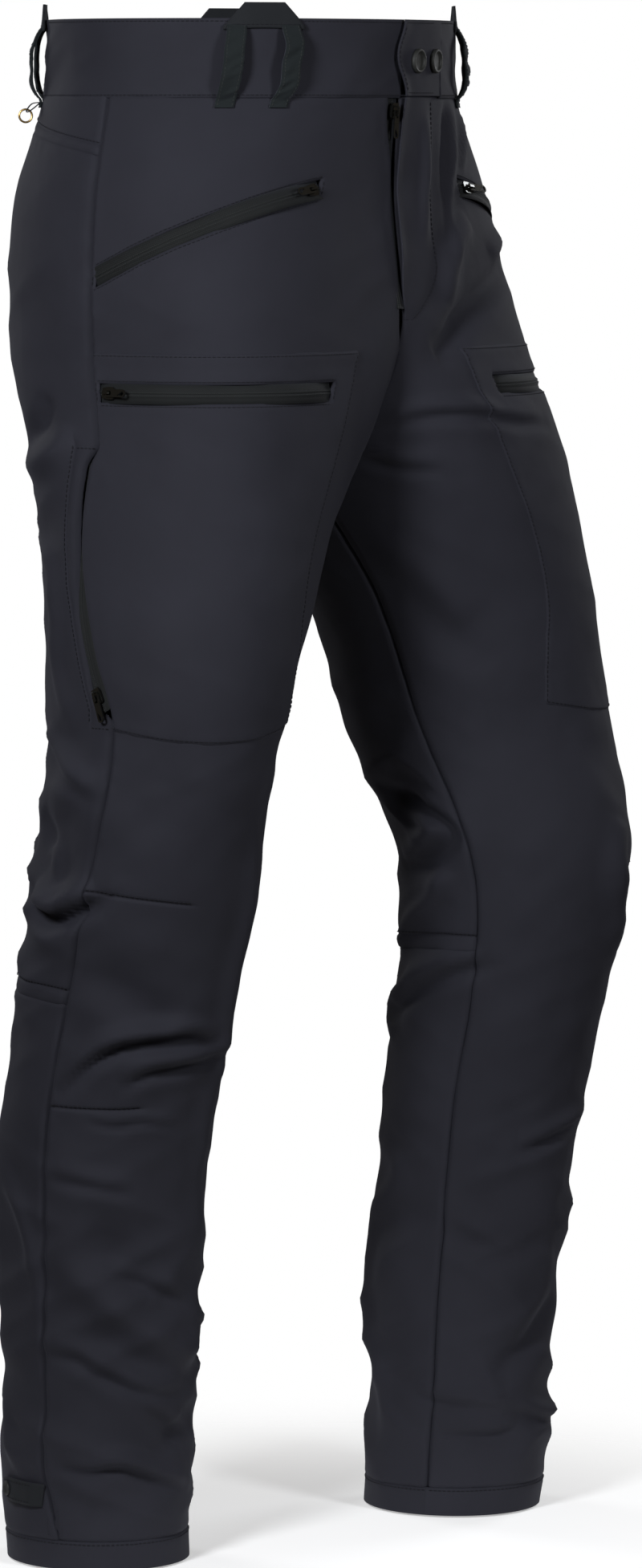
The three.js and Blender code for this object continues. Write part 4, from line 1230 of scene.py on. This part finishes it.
def placket_edge(z):
    """The placket's free edge bows over the zip and runs back to the centre at the top."""
    bow = smooth(z, FLY_BOTTOM, 880) * (1 - smooth(z, 955, 1003))
    return front_edge(LEFT, z) + 1.2 - 4.2 * bow


def placket_stitch(z):
    """The line that holds the placket down: straight, with a turn in to the centre at the foot."""
    return front_edge(LEFT, z) + PLACKET_WIDTH * np.sqrt(smooth(z, FLY_BOTTOM - 6, FLY_BOTTOM + 40))


def placket_shape(z, girth):
    over = girth - placket_edge(z)
    held = placket_stitch(z) - girth
    sewn = mix(0.5, 1.0, smooth(z, FLY_BOTTOM, 930))
    rise = sewn * PLACKET_OUT * (1 - bell(np.maximum(held, 0), 9)) + 0.1
    ripple = 0.55 + 0.45 * waves(z, np.zeros(z.shape), 23, 90)
    curl = 2.8 * ripple * bell(over, 6) * smooth(z, FLY_BOTTOM, FLY_BOTTOM + 60)
    return rise + curl + 0.9 * waves(z, girth, 26, 95) * smooth(held, 0, 14)


def add_fly():
    rows = [line(FLY_BOTTOM), line(BAND_BOTTOM - 1)]
    patch = Patch(rows, [placket_edge, placket_stitch])

    def lay(z, girth):
        return relief(LEFT, z, girth) + placket_shape(z, girth)

    z, girth, _, _ = patch.grid()
    two_layers("fly_placket_cloth", "shell", LEFT, z, girth, lay(z, girth), node="fly_placket")
    z, girth = patch.trace("column", 1, -1.0)
    add_stitches("stitching_left", skin(LEFT, z, girth, lay(z, girth) + 0.25))
    panel("fly_shield", LEFT, rows, [front_plus(LEFT, -24), front_plus(LEFT, 30)], "fly_underlap",
          slot="facing", sewn="", folds=0.0, out=-SHIELD_DEPTH, thick=1.2)


# ---- brace loops

LOOP_WIDTH = 13
LOOP_CLOTH = 1.4
LOOP_HALF = 28
LOOP_INSET = 2.2
LOOP_LEAN = 0.09
LOOP_TOP = 1051
LOOP_PROFILE = [(995, 0.9), (1000, 1.2), (1005, 5.5), (1012, 9.0), (1023, 10.0), (1035, 9.2),
                (1044, 6.5), (1051, 1.8)]


def strap(name, side, girth, node, word):
    """One narrow strap that bows out from the waistband, wrinkled between its rows of stitches."""
    profile = curve_through(LOOP_PROFILE, 7)
    across = np.linspace(0, LOOP_WIDTH, 9)
    z = np.tile(profile[:, :1], (1, 9))
    around = girth + np.tile(across, (len(profile), 1))
    edge = np.minimum(across, LOOP_WIDTH - across)
    slack = np.sin(np.pi * np.linspace(0, 1, len(profile)))[:, None]
    seed = int(abs(girth)) + 3
    tuck = 1 - 2.4 * np.abs(waves(z + 0.6 * around, 0.4 * around, 6.5, seed))
    wrinkle = (1.2 * tuck + 1.0 * waves(z, around, 7, 31)) * smooth(edge, -1.5, 3) * slack
    out = profile[:, 1:] + wrinkle + 1.0
    around = around + 1.3 * waves(z, np.zeros(z.shape), 13, seed)
    around += side * LOOP_LEAN * (z - LOOP_TOP)
    two_layers(name, "webbing", side, z, around, out, LOOP_CLOTH, node=node)
    for column in (1, 7):
        path = skin(side, z[:, column], around[:, column], out[:, column] + 0.1)
        add_stitches(f"pale_stitching_{word}", path, pitch=2.6, length=1.7, radius=0.24)


def loop_tab(name, side, girth, node, word):
    """The tab that joins two straps and stands above the waistband."""
    share = np.linspace(0, 1, 16)[:, None]
    across = np.linspace(-1, 1, 23)[None, :]
    z = 1048.5 + 17.2 * share - 1.2 * across**2 * (1 - share) + 0 * across
    half = mix(LOOP_HALF + 0.6, 14, np.clip((share - 0.12) / 0.88, 0, 1))
    around = girth + half * across
    out = 3.4 + 0.6 * waves(z, around, 11, 17) - 1.8 * share + 0 * across
    two_layers(name, "tab", side, z, around, out, TAB_CLOTH, node=node)
    row = np.linspace(-0.95, 0.95, 60)
    height = np.full(60, 1050.8)
    lay = 3.1 + 0.6 * waves(height, girth + LOOP_HALF * row, 11, 17) + 0.1
    add_stitches(f"stitching_{word}", skin(side, height, girth + LOOP_HALF * row, lay))


def add_brace_loops(side, word):
    for place, girth in LOOP_GIRTHS:
        node = f"brace_loop_{place}_{word}"
        strap(f"{node}_strap_1", side, girth - LOOP_HALF + LOOP_INSET, node, word)
        strap(f"{node}_strap_2", side, girth + LOOP_HALF - LOOP_WIDTH - LOOP_INSET, node, word)
        loop_tab(f"{node}_tab", side, girth, node, word)


# ---- hem tabs


def add_hem_tab(side, word):
    """A flat strap that is sewn down at the side seam and lies free from there on."""
    along = np.linspace(0, 1, 26)[None, :]
    across = np.linspace(-1, 1, 9)[:, None]
    girth = mix(0.5, TAB_LENGTH, along) + 2.5 * across * (along - 0.5)
    z = TAB_HEIGHT + 8 * across * (1 - 0.25 * smooth(along, 0.8, 1)) + 0 * along
    out = FLAP_OUT + 0.5 * waves(z, girth, 9, 44) - 1.2 * (1 - smooth(along, 0, 0.25))
    node = f"hem_tab_{word}"
    piece = two_layers(f"{node}_cloth", "tab", side, z, girth, out, TAB_CLOTH, body=None,
                       node=node)
    bend(piece, (side, TAB_HEIGHT, 1.0), (side, TAB_HEIGHT, 9.0))
    for row in (1, 7):
        path = skin(side, z[row, 5:], girth[row, 5:], out[row, 5:] + 0.1)
        add_stitches(f"stitching_{node}", path)


# ---- zips


class ZipArc:
    """The circle that a zip's slider runs round, through three places on the garment."""

    def __init__(self, side, stations):
        start, middle, end = [Vector(skin(side, z, girth)) for z, girth in stations]
        a = middle - start
        b = end - start
        cross = a.cross(b)
        to_centre = cross.cross(a) * b.length_squared + b.cross(cross) * a.length_squared
        self.centre = start + to_centre / (2 * cross.length_squared)
        self.axis = cross.normalized()
        radials = [place - self.centre for place in (start, middle, end)]
        self.radius = radials[0].length
        self.sweep = radials[0].angle(radials[1]) + radials[1].angle(radials[2])
        self.first = radials[0].normalized()
        outward = Vector(facing(side, *stations[1]))
        self.tilt = math.atan2(outward.dot(self.axis), outward.dot(radials[1].normalized()))

    def place(self, turn, y, z):
        """A place at a turn round the arc, across the zip by y and out of the cloth by z."""
        radial = Matrix.Rotation(turn, 3, self.axis) @ self.first
        up = radial * math.cos(self.tilt) + self.axis * math.sin(self.tilt)
        along = self.axis.cross(radial)
        return self.centre + radial * self.radius + up.cross(along) * y + up * z


# The zip's section, as places across it and out of the cloth.
TAPE_PROFILE = [(-6.8, -1.7), (-6.8, -1.0), (-3.1, -0.95), (-2.3, -0.5), (-1.5, -0.05),
                (-0.45, 0.0), (0, -0.9), (0.45, 0.0), (1.5, -0.05), (2.3, -0.5), (3.1, -0.95),
                (6.8, -1.0), (6.8, -1.7)]
TOOTH_PITCH = 1.5
TAPE_SPARE = 6.0
TAPE_RIB = 0.28
TEETH_HALF = 2.5
VENT_SINK = 5.0
FLY_SINK = 2.2


def add_zip(name, side, stations, word, sink=0.0):
    """A closed zip: woven tape either side of ribbed teeth, and fine stitches along the middle.
    It sinks under the cloth at its first end."""

    def depth(share):
        return sink * float(1 - smooth(share, 0.32, 0.66))

    arc = ZipArc(side, stations)
    spare = TAPE_SPARE / arc.radius
    length = (arc.sweep + 2 * spare) * arc.radius
    steps = int(length / TOOTH_PITCH) * 2
    points, uv = [], []
    for step in range(steps + 1):
        turn = (arc.sweep + 2 * spare) * step / steps - spare
        for y, z in TAPE_PROFILE:
            rib = -TAPE_RIB * (step % 2) * (abs(y) < TEETH_HALF)
            points.append(arc.place(turn, y, z + rib - depth(step / steps)))
            uv.append((turn * arc.radius, y))
    count = len(TAPE_PROFILE)
    faces = tube_faces(steps + 1, count)
    faces.append(tuple(range(count)))
    faces.append(tuple(range(steps * count, (steps + 1) * count))[::-1])
    piece = mesh_object(f"{name}_tape", points, faces, "zip", uv, node=name)
    turns = np.linspace(-spare, arc.sweep + spare, 200)
    for y in (-1.0, 1.0):
        path = np.array([arc.place(turn, y, 0.02 - depth(turn / arc.sweep)) for turn in turns])
        add_stitches(f"pale_stitching_{word}", path, pitch=TOOTH_PITCH, length=1.0, radius=0.2)


def vent_middle(z):
    """The middle of the gap that the vent's zip fills."""
    opens = smooth(z, VENT_BOTTOM - 34, VENT_BOTTOM - 4)
    closes = smooth(z, VENT_TOP + 4, VENT_TOP + 34)
    return side_seam(z) + (ZIP_WINDOW + 2) / 2 * opens * (1 - closes)


def add_zips(side, word):
    add_zip(f"hip_zip_{word}", side, [(hip_zip_line(g), g) for g in (-8, -88, -168)], word)
    add_zip(f"thigh_zip_{word}", side, [(THIGH_ZIP_HEIGHT, g) for g in (-8, -98, -188)], word)
    heights = (VENT_TOP - 4, (VENT_TOP + VENT_BOTTOM) / 2, VENT_BOTTOM + 4)
    add_zip(f"vent_zip_{word}", side, [(z, vent_middle(z)) for z in heights], word,
            sink=VENT_SINK)


def add_fly_zip():
    heights = (BAND_BOTTOM - 4, (BAND_BOTTOM + FLY_BOTTOM) / 2 + 4, FLY_BOTTOM + 14)
    stations = [(z, front_edge(RIGHT, z) + FLY_CENTRE) for z in heights]
    add_zip("fly_zip", RIGHT, stations, "right", sink=FLY_SINK)


# ---- metal parts

METAL_ROUNDING = 0.25
STUD_SPOKES = 40
# A stud's outline, as shares of its radius and height.
STUD_PROFILE = [(0, 0.5), (0.45, 0.5), (0.62, 0.52), (0.7, 0.66), (0.76, 0.86), (0.83, 0.97),
                (0.9, 0.95), (0.96, 0.78), (1.0, 0.5), (0.99, 0.2), (0.93, 0.0)]
RING_GIRTH = LOOP_GIRTHS[1][1] - 20
RING_HEIGHT = 994.0
RING_DROP = 4.5
RING_OUT = 9.5
RING_RADIUS = 4.4
RING_WIRE = 0.7
RING_STEPS = 40
WIRE_STEPS = 12
KEEPER_PATH = [(999, 2.2), (998, 7.5), (993.4, 10.2), (991.8, 8.6), (995, 4.5), (999, 1.0)]
KEEPER_WIDTH = 4.4
KEEPER_THICK = 0.7


def add_stud(name, side, z, girth, out, size, node, body):
    """A turned cap with a raised rim and a shallow dish."""
    radius, height = size
    turn = Vector(facing(side, z, girth)).to_track_quat("Z", "Y")
    base = Vector(skin(side, z, girth, out))
    points = []
    for share, rise in STUD_PROFILE:
        reach = radius * share
        for cosine, sine in circle(STUD_SPOKES):
            points.append(base + turn @ Vector((reach * cosine, reach * sine, height * rise)))
    faces = tube_faces(len(STUD_PROFILE), STUD_SPOKES)
    mesh_object(name, points, faces, "stud", body=body, node=node)


def add_ring(side):
    """A brass ring under the back loop."""
    centre = Vector(skin(side, RING_HEIGHT - RING_DROP, RING_GIRTH, RING_OUT))
    outward = Vector(facing(side, RING_HEIGHT, RING_GIRTH))
    outward.z = 0
    outward.normalize()
    upward = Vector((0, 0, 1))
    across = upward.cross(outward)
    points = []
    for outward_share, upward_share in circle(RING_STEPS):
        spoke = outward * outward_share + upward * upward_share
        for cosine, sine in circle(WIRE_STEPS):
            reach = RING_RADIUS + RING_WIRE * cosine
            points.append(centre + spoke * reach + across * RING_WIRE * sine)
    faces = tube_faces(RING_STEPS, WIRE_STEPS, loop=True)
    mesh_object("ring", points, faces, "brass", body="waist_ring", node="waist_ring")


def add_ring_keeper(side):
    """The short loop of tape that the ring hangs from."""
    path = curve_through(KEEPER_PATH)
    width = np.linspace(-KEEPER_WIDTH / 2, KEEPER_WIDTH / 2, 5)
    points = skin(side, path[:, :1], RING_GIRTH + width, path[:, 1:])
    faces = [
        (5 * r + c, 5 * r + c + 1, 5 * r + c + 6, 5 * r + c + 5)
        for r in range(len(path) - 1) for c in range(4)
    ]
    keeper = mesh_object("ring_keeper", points.reshape(-1, 3), faces, "webbing")
    solid = keeper.modifiers.new("thickness", "SOLIDIFY")
    solid.thickness = KEEPER_THICK * MM


def add_studs():
    for i, place in enumerate(STUD_PLACES):
        girth = front_edge(LEFT, STUD_HEIGHT) + place
        add_stud(f"stud_cap_{i + 1}", LEFT, STUD_HEIGHT, girth, FLAP_OUT + 0.2, WAIST_CAP,
                 f"waist_stud_{i + 1}", "waist_flap")
        add_stud(f"stud_post_{i + 1}", LEFT, STUD_HEIGHT, girth, -POST_DEPTH, WAIST_POST,
                 None, ROOT)
    for side, word in SIDES:
        add_stud(f"hem_cap_{word}", side, TAB_HEIGHT, HEM_STUD_PLACE, FLAP_OUT - 0.2, HEM_CAP,
                 f"hem_stud_{word}", f"hem_tab_{word}")


def finish_hardware():
    """Rounds the edges of the frame's sliders and pulls and gives them their gloss."""
    for node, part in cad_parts.items():
        if "slider" in node or "pull" in node:
            part.data.materials.clear()
            part.data.materials.append(MATERIALS["slider"])
            bevel = part.modifiers.new("rounded", "BEVEL")
            bevel.width = METAL_ROUNDING * MM
            bevel.segments = 2
            bevel.limit_method = "ANGLE"
            part.data.polygons.foreach_set("use_smooth", [True] * len(part.data.polygons))


# ---- assembly

add_camera()
add_studio()
for side, word in SIDES:
    add_front(side, word)
    add_back(side, word)
    add_hem(side, word)
    add_bags(side, word)
    add_waistband(side, word)
    add_brace_loops(side, word)
    add_hem_tab(side, word)
    add_zips(side, word)
add_flap()
add_underlap()
add_fly()
add_fly_zip()
add_studs()
add_ring(RIGHT)
add_ring_keeper(RIGHT)
add_all_stitching()
finish_hardware()

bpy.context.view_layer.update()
